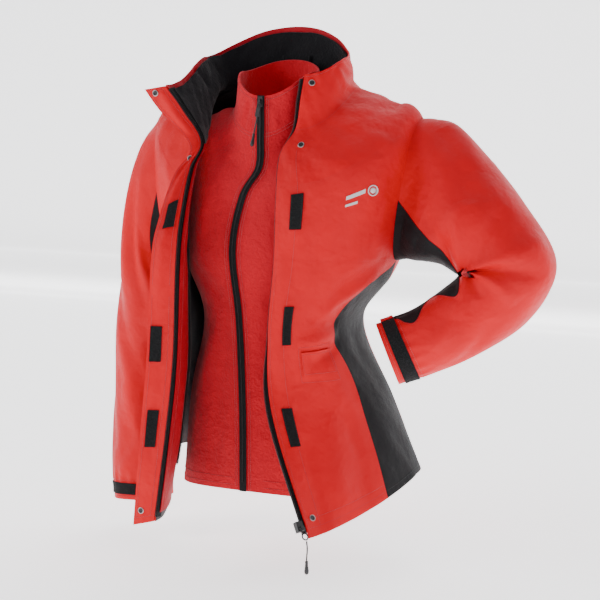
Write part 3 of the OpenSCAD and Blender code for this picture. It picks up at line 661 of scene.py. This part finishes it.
def teeth_row(name, line, normal, pitch=2.2):
    q = paced(line, pitch)
    shape, faces = box_shape(1.4, 3.4, 1.8)
    return strewn(name, line(q), line(q + 1e-3) - line(q - 1e-3), normal(q), shape, 4, faces,
                  [teeth_black])


for hand, side, reach, bend in ((1, "left", left_reach, bend_left), (-1, "right", right_reach, bend_right)):
    strip = tape_strip(hand, reach, 12, .2, 7.95)
    tape = bend(cloth(side + "_main_zip_tape", strip, 8, 240, 1.2, [tape_black], lift=-3.9,
                      edge=0))
    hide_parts(side + "_zip_tape_upper", side + "_zip_tape")
    rim = 0. if hand > 0 else 1.

    def line(q):
        q = np.asarray(q)
        return strip(q * 0 + rim, q) - 3.3 * outward(strip, q * 0 + rim, q)

    bend(teeth_row(side + "_main_zip_teeth", line, lambda q: outward(strip, q * 0 + rim, q)))
    edges = (.004, .07) if hand > 0 else (.93, .996)
    facing = bend(cloth(side + "_front_facing",
                        lambda s, t: shell(mix(*edges, s), mix(2.1, 7.9, t)), 26, 200, 1.4,
                        [shaded_facing_red], lift=-6.6, edge=.5))
    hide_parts(side + "_facing")
joining = bend_right(cloth("fleece_joining_zip",
                           lambda s, t: shell(mix(.918, .936, s), mix(2.6, 7.5, t)), 8, 190, 1.6,
                           [tape_black], lift=-9.2, edge=0))
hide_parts("connection_zip")


def inner_line(q):
    return shell(.928, mix(2.6, 7.5, q)) - 11.2 * outward(shell, .928 + 0 * q, mix(2.6, 7.5, q))


bend_right(teeth_row("fleece_joining_teeth", inner_line,
                     lambda q: -outward(shell, .928 + 0 * q, mix(2.6, 7.5, q))))


# ---- Topstitching ----
# Every seam and hem is lockstitched in red thread, about three stitches to the centimetre, a few
# millimetres from the edge.
thread = Finish("red_thread", (.42, .004, .014), .5, sheen_weight=.3)
thread.paint(thread.blend(thread.noise(500), (.34, .003, .012), (.5, .008, .02)))
dark_thread = Finish("black_thread", black, .55)
dark_thread.paint(dark_thread.blend(dark_thread.noise(500), black, (.03, .03, .03)))


def stitches(name, rows, paint=None, pitch=3.3, size=.75):
    """Rows of stitches. A row is a surface, a path in its two coordinates as a function of q from 0 to 1,
    the side of the surface (1 or -1) and a height in millimetres. A stitch is a drawn-in block along it."""
    places, ways, ups = [], [], []
    for surface, path, hand, lift in rows:
        def line(q):
            a, b = path(np.asarray(q, float))
            return surface(a, b)
        q = paced(line, pitch)
        n = outward(surface, *path(q), hand)
        places.append(line(q) + lift * n)
        ways.append(line(q + 1e-3) - line(q - 1e-3))
        ups.append(n)
    shape, faces = box_shape(pitch * .72, size, size * .6, .6)
    return strewn(name, np.concatenate(places), np.concatenate(ways), np.concatenate(ups), shape, 4, faces,
                  [paint or thread])


def down_at(u, v0, v1):
    """A path down the cloth at a share u of the way round (a number or a function of the station)."""
    return lambda q: ((u(mix(v0, v1, q)) if callable(u) else u + 0 * q), mix(v0, v1, q))


def round_at(v, u0, u1):
    return lambda q: (mix(u0, u1, q), v + 0 * q)


bend_left(stitches("left_front_stitching", [
    (shell, down_at(.006, 2.05, 7.96), 1, 0), (shell, down_at(.036, 2.9, 7.96), 1, 0),
    (shell, round_at(7.93, .003, .188), 1, 0), (shell, round_at(7.86, .003, .188), 1, 0),
    (shell, down_at(lambda v: front_side(v) - .004, 5.05, 7.96), 1, 0),
    (shell, down_at(lambda v: front_side(v) - .005, 3.86, 5.0), 1, 0)]))
bend_right(stitches("right_front_stitching", [
    (shell, round_at(7.93, .815, .997), 1, 0),
    (shell, down_at(lambda v: 1 - front_side(v) + .005, 3.86, 5.0), 1, 0),
    (shell, down_at(lambda v: 1 - front_side(v) + .004, 5.05, 7.96), 1, 0),
    (shell, down_at(.936, 2.3, 7.85), -1, 8.2), (shell, down_at(.985, 2.3, 7.85), -1, 8.2)]))
body_stitches = stitches("body_stitching", [
    (shell, round_at(7.93, .355, .645), 1, 0), (shell, round_at(7.86, .355, .645), 1, 0),
    (shell, round_at(2.06, .004, .996), 1, 0), (shell, round_at(.12, .004, .996), 1, 0),
    (shell, down_at(lambda v: back_side(v) + .005, 3.86, 7.96), 1, 0),
    (shell, down_at(lambda v: 1 - back_side(v) - .005, 3.86, 7.96), 1, 0),
    (shell, down_at(.006, .1, 2.0), 1, 0)])
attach(body_stitches, "torso")
side_stitches = stitches("side_stitching", [
    (shell, round_at(7.93, .196, .34), 1, 0), (shell, round_at(7.93, .66, .804), 1, 0)], dark_thread)
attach(side_stitches, "torso")


# ---- The storm flap ----
# A double strip of shell nylon sewn along the right front edge. It covers the zip when the jacket is
# shut; worn open it folds back, so its inner side with the black hook patches faces out.
flap_edge = [[-206, -120, 46], [-178, -116, 8], [-115, -125, -55], [-130, -158, -105], [-135, -205, -180],
             [-138, -225, -240], [-142, -240, -410], [-150, -250, -534], [-160, -262, -703]]
flap_folds = [[.3, .2, .5, 1.8, 9, 3], [.6, 2.2, .5, 3.2, 8, -3], [.2, 3.0, .7, 3.7, 8, 3],
              [.5, 4.2, .6, 5.6, 10, 2.5], [.35, 5.8, .5, 7.6, 10, -2.5]]


def plain_flap(s, v):
    edge, free = through(right_edge, v)[..., :3], through(flap_edge, v)
    return mix(edge, free, np.asarray(s)[..., None])


def flap(s, v):
    """Straight lines from the right front edge (s = 0) to the flap's free edge (s = 1), bowed a little."""
    s, v = np.broadcast_arrays(np.asarray(s, float), np.clip(v, 0., 8.))
    bow = creases(s, v, flap_folds, 40, 95) + 2.2 * np.sin(np.pi * np.clip(s, 0, 1))
    return plain_flap(s, v) - bow[..., None] * outward(plain_flap, s, v)


upper_flap = bend_right(cloth("storm_flap_collar_to_waist", lambda s, t: flap(s, mix(.05, 5.36, t)),
                              24, 190, 3, [shell_red], edge=.8))
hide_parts("storm_flap_upper")
lower_flap = cloth("storm_flap_waist_to_hem", lambda s, t: flap(s, mix(5.33, 8, t)), 24, 120, 3,
                   [shell_red], edge=.8)
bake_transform(lower_flap)
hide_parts("storm_flap")
flap_rows = [(flap, lambda q, s=s: (s + 0 * q, mix(.1, 5.3, q)), -1, 3.1) for s in (.2, .86)]
bend_right(stitches("storm_flap_upper_stitching", flap_rows + [
    (flap, lambda q: (mix(.2, .86, q), .12 + 0 * q), -1, 3.1)]))
lower_rows = stitches("storm_flap_lower_stitching", [
    (flap, lambda q, s=s: (s + 0 * q, mix(5.4, 7.93, q)), -1, 3.1) for s in (.2, .86)]
    + [(flap, lambda q: (mix(.1, .95, q), 7.93 + 0 * q), -1, 3.1)])
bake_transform(lower_rows)


# ---- Hook and loop patches ----
# Black nylon patches about 22 by 62 mm, boxed round with stitching: the loop halves on the left front
# and the hook halves on the flap.
hook = Finish("hook_and_loop", (.006, .006, .0065), .85, sheen_weight=.04,
              specular_ior_level=.15)
fuzz = hook.noise(700, 2, .6)
hook.relief(hook.noise(180, 2), .0012)
hook.relief(fuzz, .0008)
hook.paint(hook.blend(fuzz.ramp(.4, .75), (.004, .004, .0045), (.02, .02, .021)))


def patch_on(name, surface, a, b, wide, tall, hand, lift):
    """A rectangle around a surface's point (a, b), wide and tall in the surface's own coordinates."""
    return cloth(name, lambda s, t: surface(a + (s - .5) * wide, b + (t - .5) * tall), 14, 34, 1.5, [hook],
                 hand=1, lift=lift + 1.5 if hand > 0 else -lift, edge=.5)


bend_left(patch_on("chest_loop", shell, .036, 4.28, .021, .56, 1, .3))
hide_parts("chest_loop_patch")
upper_loop = bend_left(patch_on("pocket_height_loop", shell, .043, 5.83, .021, .5, 1, .3))
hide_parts("front_loop_patches")
bend_left(patch_on("hem_loop", shell, .03, 7.13, .021, .36, 1, .3))
flap_hook = bend_right(patch_on("storm_flap_chest_hook", flap, .42, 4.0, .44, .62, -1, 3.3))
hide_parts("storm_flap_upper_patch")
for name, s, v, tall in (("storm_flap_waist_hook", .66, 5.86, .365),
                         ("storm_flap_hem_hook", .55, 6.97, .46)):
    made = patch_on(name, flap, s, v, .44, tall, -1, 3.3)
    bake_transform(made)
    if v < 6:
        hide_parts("storm_flap_patches")
bend_left(stitches("loop_patch_stitching", [
    (shell, down_at(u + d, v - tall * .45, v + tall * .45), 1, 2)
    for u, v, tall in ((.036, 4.28, .56), (.043, 5.83, .5), (.03, 7.13, .36)) for d in (-.0088, .0088)],
    dark_thread))


# ---- Snaps ----
# Dark metal press studs with a light rim, riveted through the cloth at the collar, under the chin and
# at the hem, and their mates on the flap.
stud = Finish("dark_stud", (.03, .03, .032), .35, metallic=.6)
stud.paint(stud.blend(stud.noise(400), (.02, .02, .022), (.06, .06, .062)))
rim_metal = Finish("stud_rim", (.42, .41, .4), .3, metallic=1)
rim_metal.paint(rim_metal.blend(rim_metal.noise(300), (.36, .35, .34), (.5, .49, .48)))


def turned(name, place, normal, profile, paint, sides=32):
    """A profile of (radius, height) turned about a normal that stands at a place."""
    normal = unit(np.asarray(normal, float))
    x = unit(np.cross(normal, [.3, .2, .9]))
    y = np.cross(normal, x)
    r, h = np.asarray(profile, float).T
    turn = np.linspace(0, 2 * np.pi, sides, endpoint=False)
    points = (place + r[:, None, None] * (x * np.cos(turn)[:, None] + y * np.sin(turn)[:, None])
              + h[:, None, None] * normal)
    return mesh_object(name, points, tube_faces(len(r), sides), None, [paint])


def press_stud(name, surface, a, b, hand, lift):
    """The stud's cap and its rim. The profiles run from the outer edge over the top to the middle."""
    n = outward(surface, np.array(a), np.array(b), hand)
    at = surface(np.array(a), np.array(b)) + lift * n
    cap = turned(name, at, n, [[4.3, -.4], [4.3, .8], [3.9, 1.3], [3.2, 1.45], [2.6, 1.2], [1.2, 1.0],
                               [.05, 1.0]], stud)
    ring = turned(name + "_rim", at, n, [[5.6, -.4], [5.8, .2], [5.5, .8], [4.9, 1.05], [4.3, .9],
                                         [4.1, .3]], rim_metal)
    return [cap, ring]


for name, u, v in (("collar_stud", .043, .41), ("chin_stud", .043, 2.76)):
    cap, ring = press_stud(name, shell, u, v, 1, .3)
    bend_left(cap), bend_left(ring)
    if v < 1:
        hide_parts("collar_snaps")
cap, ring = press_stud("hem_stud", shell, .022, 7.86, 1, .3)
bend_left(cap), bend_left(ring)
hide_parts("left_hem_snap")
for name, s, v in (("flap_collar_stud", .62, .27), ("flap_chin_stud", .6, 2.5)):
    cap, ring = press_stud(name, flap, s, v, -1, 3.2)
    bend_right(cap), bend_right(ring)
    if v < 1:
        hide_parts("storm_flap_upper_snaps")
for made in press_stud("flap_hem_stud", flap, .66, 7.86, -1, 3.2):
    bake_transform(made)
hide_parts("storm_flap_hem_snap")


# ---- The hand pockets ----
# A slanted welt on each side with a narrow nylon flap over it, topstitched round, that lifts on its
# upper edge.
for hand, side, u0, u1 in ((1, "left", .078, .165), (-1, "right", .835, .922)):
    pocket = cloth(side + "_pocket_welt", lambda s, t: shell(mix(u0, u1, s), mix(6.2, 6.56, t)), 40, 20, 2.4,
                   [shell_red], lift=3.2, edge=.7)
    hold(pocket, side + "_pocket", side + "_pocket_flap")
    rows = stitches(side + "_pocket_stitching", [
        (shell, round_at(v, u0 + .003, u1 - .003), 1, 3.6) for v in (6.235, 6.525)] + [
        (shell, down_at(u, 6.23, 6.53), 1, 3.6) for u in (u0 + .003, u1 - .003)])
    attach(rows, side + "_pocket")
    bend = bend_left if hand > 0 else bend_right
    bend(stitches(side + "_pocket_seam", [
        (shell, round_at(v, u0 - .006, u1 + .006), 1, .1) for v in (6.13, 6.64)] + [
        (shell, down_at(u, 6.14, 6.63), 1, .1) for u in (u0 - .006, u1 + .006)]))


# ---- The chest badge ----
# A small plain printed badge on the left chest: a ring and a disc beside two bars, in pale ink.
ink = Finish("pale_ink", (.62, .6, .6), .5)
ink.paint(ink.blend(ink.noise(400), (.56, .54, .54), (.7, .68, .68)))
for name, u, v, du, dv in (("badge_bar_wide", .140, 4.27, .036, .045),
                           ("badge_bar_short", .1335, 4.36, .023, .028)):
    bend_left(cloth(name, lambda s, t: shell(u + (s - .5) * du, v + (t - .5) * dv), 16, 6, .7,
                                 [ink], lift=.9, edge=0))
middle = (np.array(.1735), np.array(4.3))
n = outward(shell, *middle)
bend_left(turned("badge_ring", shell(*middle) + .8 * n, n, [
    [9.5, -1], [9.5, .5], [7.6, .5], [7.6, -1]], ink, 48))
bend_left(turned("badge_disc", shell(*middle) + .8 * n, n, [
    [5, -1], [5, .5], [2, .6], [.05, .6]], ink, 48))
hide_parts("chest_badge")


# ---- The sleeves ----
# Full-cut sleeves of red nylon with a charcoal underarm gusset and a charcoal panel along the inside of
# the forearm. Each ends in a black hook and loop band closed by a red tab. The left hand is on the hip,
# so that sleeve's folds fan out from its elbow; the right one hangs.
left_arm = [[239, 16, -128, 122, 80], [276, 14, -129, 124, 88], [325, 8, -155, 105, 84],
            [380, 0, -196, 87, 80], [430, -8, -253, 80, 76], [409, -20, -299, 69, 68],
            [359, -40, -343, 63, 60], [299, -68, -378, 57, 55], [243, -92, -399, 55, 50]]
right_arm = [[-231, 16, -128, 118, 80], [-256, 18, -172, 92, 84], [-272, 26, -238, 76, 80],
             [-277, 34, -318, 72, 76], [-284, 38, -405, 71, 72], [-292, 34, -500, 67, 67],
             [-298, 24, -600, 63, 62], [-296, 6, -680, 57, 56], [-292, 0, -738, 54, 53]]
arm_across = {1: np.array([-.187, .902, -.389]), -1: np.array([0, 1, -.05])}
arm_folds = {
    1: [[.28, 3.85, .50, 2.3, 14, 6], [.29, 3.7, .44, 1.5, 12, -5], [.27, 3.95, .60, 3.0, 14, -6],
        [.30, 4.0, .68, 3.7, 14, 6], [.29, 4.15, .66, 4.3, 13, -6], [.30, 4.3, .62, 4.95, 13, 6],
        [.30, 4.5, .50, 5.4, 12, -5], [.33, 4.9, .52, 6.1, 12, 4], [.22, 3.9, .04, 3.2, 12, 5],
        [.21, 4.15, .01, 4.5, 12, -5], [.20, 4.4, .03, 5.2, 12, 5], [.78, .9, .60, 2.1, 24, 5],
        [.68, 1.0, .52, 2.6, 20, -5], [.86, .7, .94, 1.9, 22, 4], [.45, 5.8, .60, 6.9, 14, 4],
        [.60, 5.4, .75, 6.6, 16, -4], [.80, 4.4, .87, 6.3, 18, 4], [.40, .5, .36, 1.6, 14, 4]],
    -1: [[.75, .5, .55, 3.2, 26, 7], [.62, 1.2, .42, 3.6, 20, -6], [.50, 1.6, .38, 4.4, 18, 6],
         [.70, 2.6, .50, 4.9, 20, -6], [.62, 3.8, .44, 5.8, 18, 6], [.45, 4.2, .35, 5.2, 14, -5],
         [.55, 5.1, .40, 6.6, 16, 5], [.72, 4.6, .60, 6.6, 18, -4], [.40, 6.0, .55, 7.2, 14, 4],
         [.32, 3.0, .30, 4.3, 14, -4], [.10, 1.5, .20, 3.8, 22, 5], [.85, 1.0, .93, 3.6, 26, 5],
         [.05, 4.0, .15, 6.0, 20, 5], [.90, 4.4, .80, 6.4, 20, -4]],
}


def plain_sleeve(hand, w, v):
    """A sleeve at share w of the way round (0 back, .25 under, .5 front, .75 top) and station v. It
    turns from the armhole's outline into ovals: middle + back r cos(2 pi w) + under R sin(2 pi w)."""
    w, v = np.broadcast_arrays(np.asarray(w, float), np.asarray(v, float))
    table = left_arm if hand > 0 else right_arm
    p = through(table, v)
    along = unit(through(table, v + 1.5)[..., :3] - through(table, v - 1.5)[..., :3])
    under = unit(hand * np.cross(arm_across[hand], along))
    back = hand * np.cross(along, under)
    c, s = np.cos(2 * np.pi * w), np.sin(2 * np.pi * w)
    ring = back * (p[..., 4] * c)[..., None] + under * (p[..., 3] * s)[..., None]
    hole = shell((side_u if hand > 0 else 1 - side_u) + hand * arm_du * c, arm_v + arm_dv * s)
    cap = smooth(v / (3 if hand > 0 else 4))[..., None]
    return p[..., :3] + mix(hole - table[0][:3], ring, cap)


def sleeve(hand, w, v):
    """The sleeve with its folds, which grow from nothing at the armhole seam, and a gathered wrist."""
    w, v = np.broadcast_arrays(np.asarray(w, float), np.clip(v, 0., 8.))
    fold = creases(w, v, arm_folds[hand], 480, 72) * smooth(v / .6)
    gather = 1.1 * np.sin(2 * np.pi * 17 * w) * smooth((v - 6.9) / .5) * (1 - smooth((v - 7.3) / .25))
    ripple = .7 * np.sin(2 * np.pi * (3 * w + .31 * v)) * np.sin(2.9 * v + 6 * np.sin(2 * np.pi * w))
    raised = (fold + gather + ripple * smooth(v / .5))[..., None]
    return plain_sleeve(hand, w, v) + raised * outward(lambda a, b: plain_sleeve(hand, a, b), w, v, hand)


elbow_at = {1: 2.2, -1: 3.0}


def bend_arm(piece):
    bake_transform(piece)
    return piece


def sleeve_cloth(name, hand, part, from_w, to_w, v0, v1, wall, paints, lift=0., across=120,
                 slot="shell_cloth", edge=.6):
    """A piece of a sleeve between two seams, each a share of the way round at station v."""
    def cut(s, t):
        v = mix(v0, v1, t)
        return sleeve(hand, mix(from_w(v), to_w(v), s), v)
    whole = from_w is zero and to_w is one
    made = cloth(name, cut, across, max(8, int(30 * (v1 - v0))), wall, paints, hand, whole, lift, edge)
    return bend_arm(made)


def gusset(v, sign):
    """The underarm gusset's two seams, which meet in a point at the elbow."""
    return .25 + (.23 if sign > 0 else -.1) * np.maximum(0, 1 - v / 4)**.85


def panel_front(v):
    """The forearm panel's front seam, which swings out twice on its way to the cuff."""
    return .305 + np.sin(np.pi * (v - 5.1) / 1.27)**2 * (.07 + .055 * smooth((v - 4.6) / 1))


for hand, side in ((1, "left"), (-1, "right")):
    at = elbow_at[hand]
    upper = sleeve_cloth(side + "_sleeve_upper", hand, "upper", zero, one, 0, at + .03, 1.6,
                         [shell_red, lining], across=150)
    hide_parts(side + "_upper_sleeve")
    lower = sleeve_cloth(side + "_sleeve_lower", hand, "lower", zero, one, at, 8, 1.6, [shell_red, lining],
                         across=150)
    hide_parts(side + "_lower_sleeve")
    seams = (lambda v: gusset(v, -1), lambda v: gusset(v, 1))
    sleeve_cloth(side + "_gusset_upper", hand, "upper", *seams, .02, at + .02, .8, [charcoal], .8, 30)
    sleeve_cloth(side + "_gusset_lower", hand, "lower", *seams, at, 3.8, .8, [charcoal], .8, 30)
    forearm = sleeve_cloth(side + "_inner_forearm", hand, "lower",
                           lambda v: .17 - .02 * smooth((v - 5) / 2), panel_front, 4.25, 7.44, .9,
                           [charcoal], .9, 40)
    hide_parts(side + "_forearm_panel")
    band = sleeve_cloth(side + "_wrist_band", hand, "lower", zero, one, 7.45, 7.83, 1.3, [hook], 2, 150,
                        "hook_and_loop")
    hold(band, side + "_forearm", side + "_cuff_band")
    tab = sleeve_cloth(side + "_wrist_tab", hand, "lower", lambda v: .14 + 0 * v,
                       lambda v: .34 + 0 * v, 7.47, 7.845, 2, [shell_red], 4.8, 40)
    hold(tab, side + "_tab", side + "_cuff_tab")
    inner_upper = sleeve_cloth(side + "_fleece_sleeve_upper", hand, "upper", zero, one, .9, at + .02,
                               3, [fleece_pile], -5.4, 90, "fleece_cloth", 0)
    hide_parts(side + "_fleece_upper_sleeve")
    inner_lower = sleeve_cloth(side + "_fleece_sleeve_lower", hand, "lower", zero, one, at, 7.7,
                               3, [fleece_pile], -5.4, 90, "fleece_cloth", 0)
    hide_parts(side + "_fleece_lower_sleeve")

    def arm(w, v):
        return sleeve(hand, w, v)
    bend_arm(stitches(side + "_cuff_stitching", [(arm, round_at(v, 0, 1), hand, .2) for v in (7.36, 7.9)]))
    bend_arm(stitches(side + "_forearm_stitching", [
        (arm, lambda q: (panel_front(mix(4.3, 7.4, q)) + .007, mix(4.3, 7.4, q)), hand, .2)]))


# ---- The fleece liner ----
# A zip-up fleece worn under the shell: stand collar, two fronts, a back, and a black coil zip down the
# middle with flatlock stitching on both sides of it.
fleece_rings = [[70, 75, 60, 34, 75, 95], [78, 86, 70, -33, 15, 35], [112, 96, 92, -90, 5, -10],
                [158, 122, 110, -140, -40, -90], [178, 138, 118, -230, -235, -235],
                [135, 130, 105, -350, -360, -350], [165, 130, 115, -500, -500, -500],
                [182, 136, 125, -658, -675, -675]]
fleece_folds = [[.06, 2.2, .10, 4.4, 22, 4], [.94, 2.1, .90, 4.4, 22, 4], [.12, 4.2, .03, 4.9, 16, -3],
                [.88, 4.2, .97, 4.95, 16, -3], [.05, 4.9, .07, 6.9, 18, -3], [.95, 4.9, .94, 6.9, 18, -3],
                [.10, 5.1, .13, 6.9, 20, 4], [.90, 5.1, .87, 6.9, 20, 4], [.08, 1.3, .13, 2.4, 18, -3],
                [.92, 1.3, .87, 2.4, 18, -3], [.03, .2, .06, .9, 14, 3], [.96, .15, .93, .9, 14, -3]]


def plain_fleece(u, v):
    u, v = np.broadcast_arrays(np.asarray(u, float), np.asarray(v, float))
    r = through(fleece_rings, v)
    c, s = np.cos(2 * np.pi * u), np.sin(2 * np.pi * u)
    front = c > 0
    return np.stack([r[..., 0] * np.sign(s) * np.abs(s)**(1 / 1.125),
                     -np.where(front, r[..., 1], r[..., 2]) * np.sign(c) * np.abs(c)**(1 / 1.125),
                     r[..., 4] + (np.where(front, r[..., 3], r[..., 5]) - r[..., 4]) * c * c], -1)


def fleece(u, v):
    """The fleece at share u of the way round from the front, towards the left, and station v."""
    u, v = np.broadcast_arrays(np.asarray(u, float), np.clip(v, 0., 7.))
    fold = creases(u, v, fleece_folds, 850, 95)
    return plain_fleece(u, v) + fold[..., None] * outward(plain_fleece, u, v)


def fleece_arm(v):
    return .05 * np.sqrt(np.maximum(0, 1 - ((v - 3.5) / .5)**2))


for name, a, b, v0, v1, node in (
        ("fleece_front_left", zero, lambda v: .25 - fleece_arm(v), 1, 7, "fleece_left_front"),
        ("fleece_front_right", lambda v: .75 + fleece_arm(v), one, 1, 7, "fleece_right_front"),
        ("fleece_whole_back", lambda v: .25 + fleece_arm(v), lambda v: .75 - fleece_arm(v), 1, 7,
         "fleece_back"),
        ("fleece_stand_collar", zero, one, 0, 1.01, "fleece_collar")):
    made = cloth(name, between(a, b, v0, v1, fleece), 110 if "front" in name else 200,
                 int(32 * (v1 - v0)) + 8, 3, [fleece_pile], edge=.5)
    hold(made, "torso", node)
zip_wander = [[0], [4], [5], [-14], [-26], [-18], [-12], [-9]]


def zip_line(dx, v):
    """The zip's middle wanders across the front: a point dx beside it lies between the front's centre
    and a point on the fleece further round, by the square of its share of the way there."""
    dx, v = np.broadcast_arrays(np.asarray(dx, float), np.clip(v, 0., 7.))
    p, q = plain_fleece(0 * v, v), fleece(.02 + 0 * v, v)
    x = through(zip_wander, v)[..., 0] + dx
    y = p[..., 1] + (q[..., 1] - p[..., 1]) * np.minimum(1, (x / q[..., 0])**2)
    return np.stack([x, y, p[..., 2]], -1)


fleece_tape = cloth("fleece_centre_tape", lambda s, t: zip_line(mix(-6.5, 6.5, s), mix(0, 7, t)),
                    12, 220, 1.4, [tape_black], lift=4.4, edge=0)
hold(fleece_tape, "torso", "fleece_zip_tape")
chain = teeth_row("fleece_coil", lambda q: zip_line(0, mix(.3, 6.9, q)) + 4.2 * outward(
    zip_line, 0 * q, mix(.3, 6.9, q)), lambda q: outward(zip_line, 0 * q, mix(.3, 6.9, q)), 1.9)
hold(chain, "torso", "fleece_zip_teeth")
rows = [(zip_line, lambda q, x=x: (x + 0 * q, mix(.06, 6.97, q)), 1, 3.6) for x in (-15, -11, 11, 15)]
rows += [(fleece, round_at(v, .02, .98), 1, .3) for v in (.1, .97, 1.06, 6.86, 6.94)]
hold(stitches("fleece_stitching", rows, pitch=3.4, size=.9), "torso")


# ---- Sliders and pulls ----
# Moulded black sliders, the main zip's ring and the fleece's tab. Their CAD shapes stand as they are.
for node in ("main_zip_slider", "main_pull_ring", "fleece_zip_slider", "fleece_pull_tab"):
    for held in bpy.data.objects[node].material_slots:
        held.material = moulded.material


# ---- The cloth maps of the sheets ----
# The panels, linings, sleeves and flaps are sheets: each one's cloth map is read back, and a tapered piece's
# area is worked out.
def cut_to(name, tapered=False):
    """Reads the piece's cloth map; for a tapered piece it also works out the area, which is half of its
    two-sided mesh's.
    """
    piece = bpy.data.objects[name]
    spots = np.empty(len(piece.data.loops) * 2, np.float32)
    piece.data.uv_layers["cloth"].data.foreach_get("uv", spots)
    area = sum(f.area for f in piece.data.polygons) / 2 if tapered else None


for piece in ("shell_back", "left_side", "right_side", "left_front", "right_front", "collar_outer",
              "collar_fleece_lining", "storm_flap_collar_to_waist", "storm_flap_waist_to_hem",
              "back_drop_lining", "fleece_front_left", "fleece_front_right", "fleece_whole_back",
              "fleece_stand_collar"):
    cut_to(piece)
for side in ("left", "right"):
    for piece in ("_sleeve_upper", "_sleeve_lower", "_fleece_sleeve_upper", "_fleece_sleeve_lower"):
        cut_to(side + piece)
    for piece in ("_front_facing", "_pocket_welt", "_inner_forearm"):
        cut_to(side + piece)
    for piece in ("_gusset_upper", "_gusset_lower"):
        cut_to(side + piece, tapered=True)


# ---- Floor and light ----
# A pale studio floor and three soft area lights.
sweep = np.array([[0, -4500, -790], [0, 1500, -790], [0, 2200, -640], [0, 2500, -100], [0, 2550, 4000.]])
sweep = smooth_line(sweep, 60)
paper_points = np.stack([sweep + [-6000, 0, 0], sweep + [6000, 0, 0]], 1).reshape(-1, 3)
row = np.arange(59)[:, None] * 2
paper = Finish("studio_paper", (.9, .9, .91), .9, emission_strength=1.7)
paper.paint(paper.blend(paper.noise(30), (.89, .89, .9), (.91, .91, .92)))
paper.shader.inputs["Emission Color"].default_value = (.9, .9, .9, 1)
floor = mesh_object("studio_sweep", paper_points, (row + [0, 1, 3, 2]).tolist(), None, [paper])


def lamp(name, power, size, place, target, colour=(1, 1, 1)):
    data = bpy.data.lights.new(name, "AREA")
    data.energy, data.size, data.color = power, size, colour
    made = bpy.data.objects.new(name, data)
    bpy.context.scene.collection.objects.link(made)
    made.location = place
    made.rotation_euler = (Vector(target) - Vector(place)).to_track_quat("-Z", "Y").to_euler()


world = bpy.data.worlds.new("studio")
bpy.context.scene.world = world
world.use_nodes = True
world.node_tree.nodes["Background"].inputs["Color"].default_value = (.9, .92, 1, 1)
world.node_tree.nodes["Background"].inputs["Strength"].default_value = .34
lamp("key", 44, 1.2, (-2.1, -1.2, .9), (0, 0, -.35))
lamp("fill", 16, 1.8, (2.2, -1.9, .5), (0, 0, -.35))
lamp("top", 14, 1.4, (.2, .9, 1.9), (0, 0, -.3))
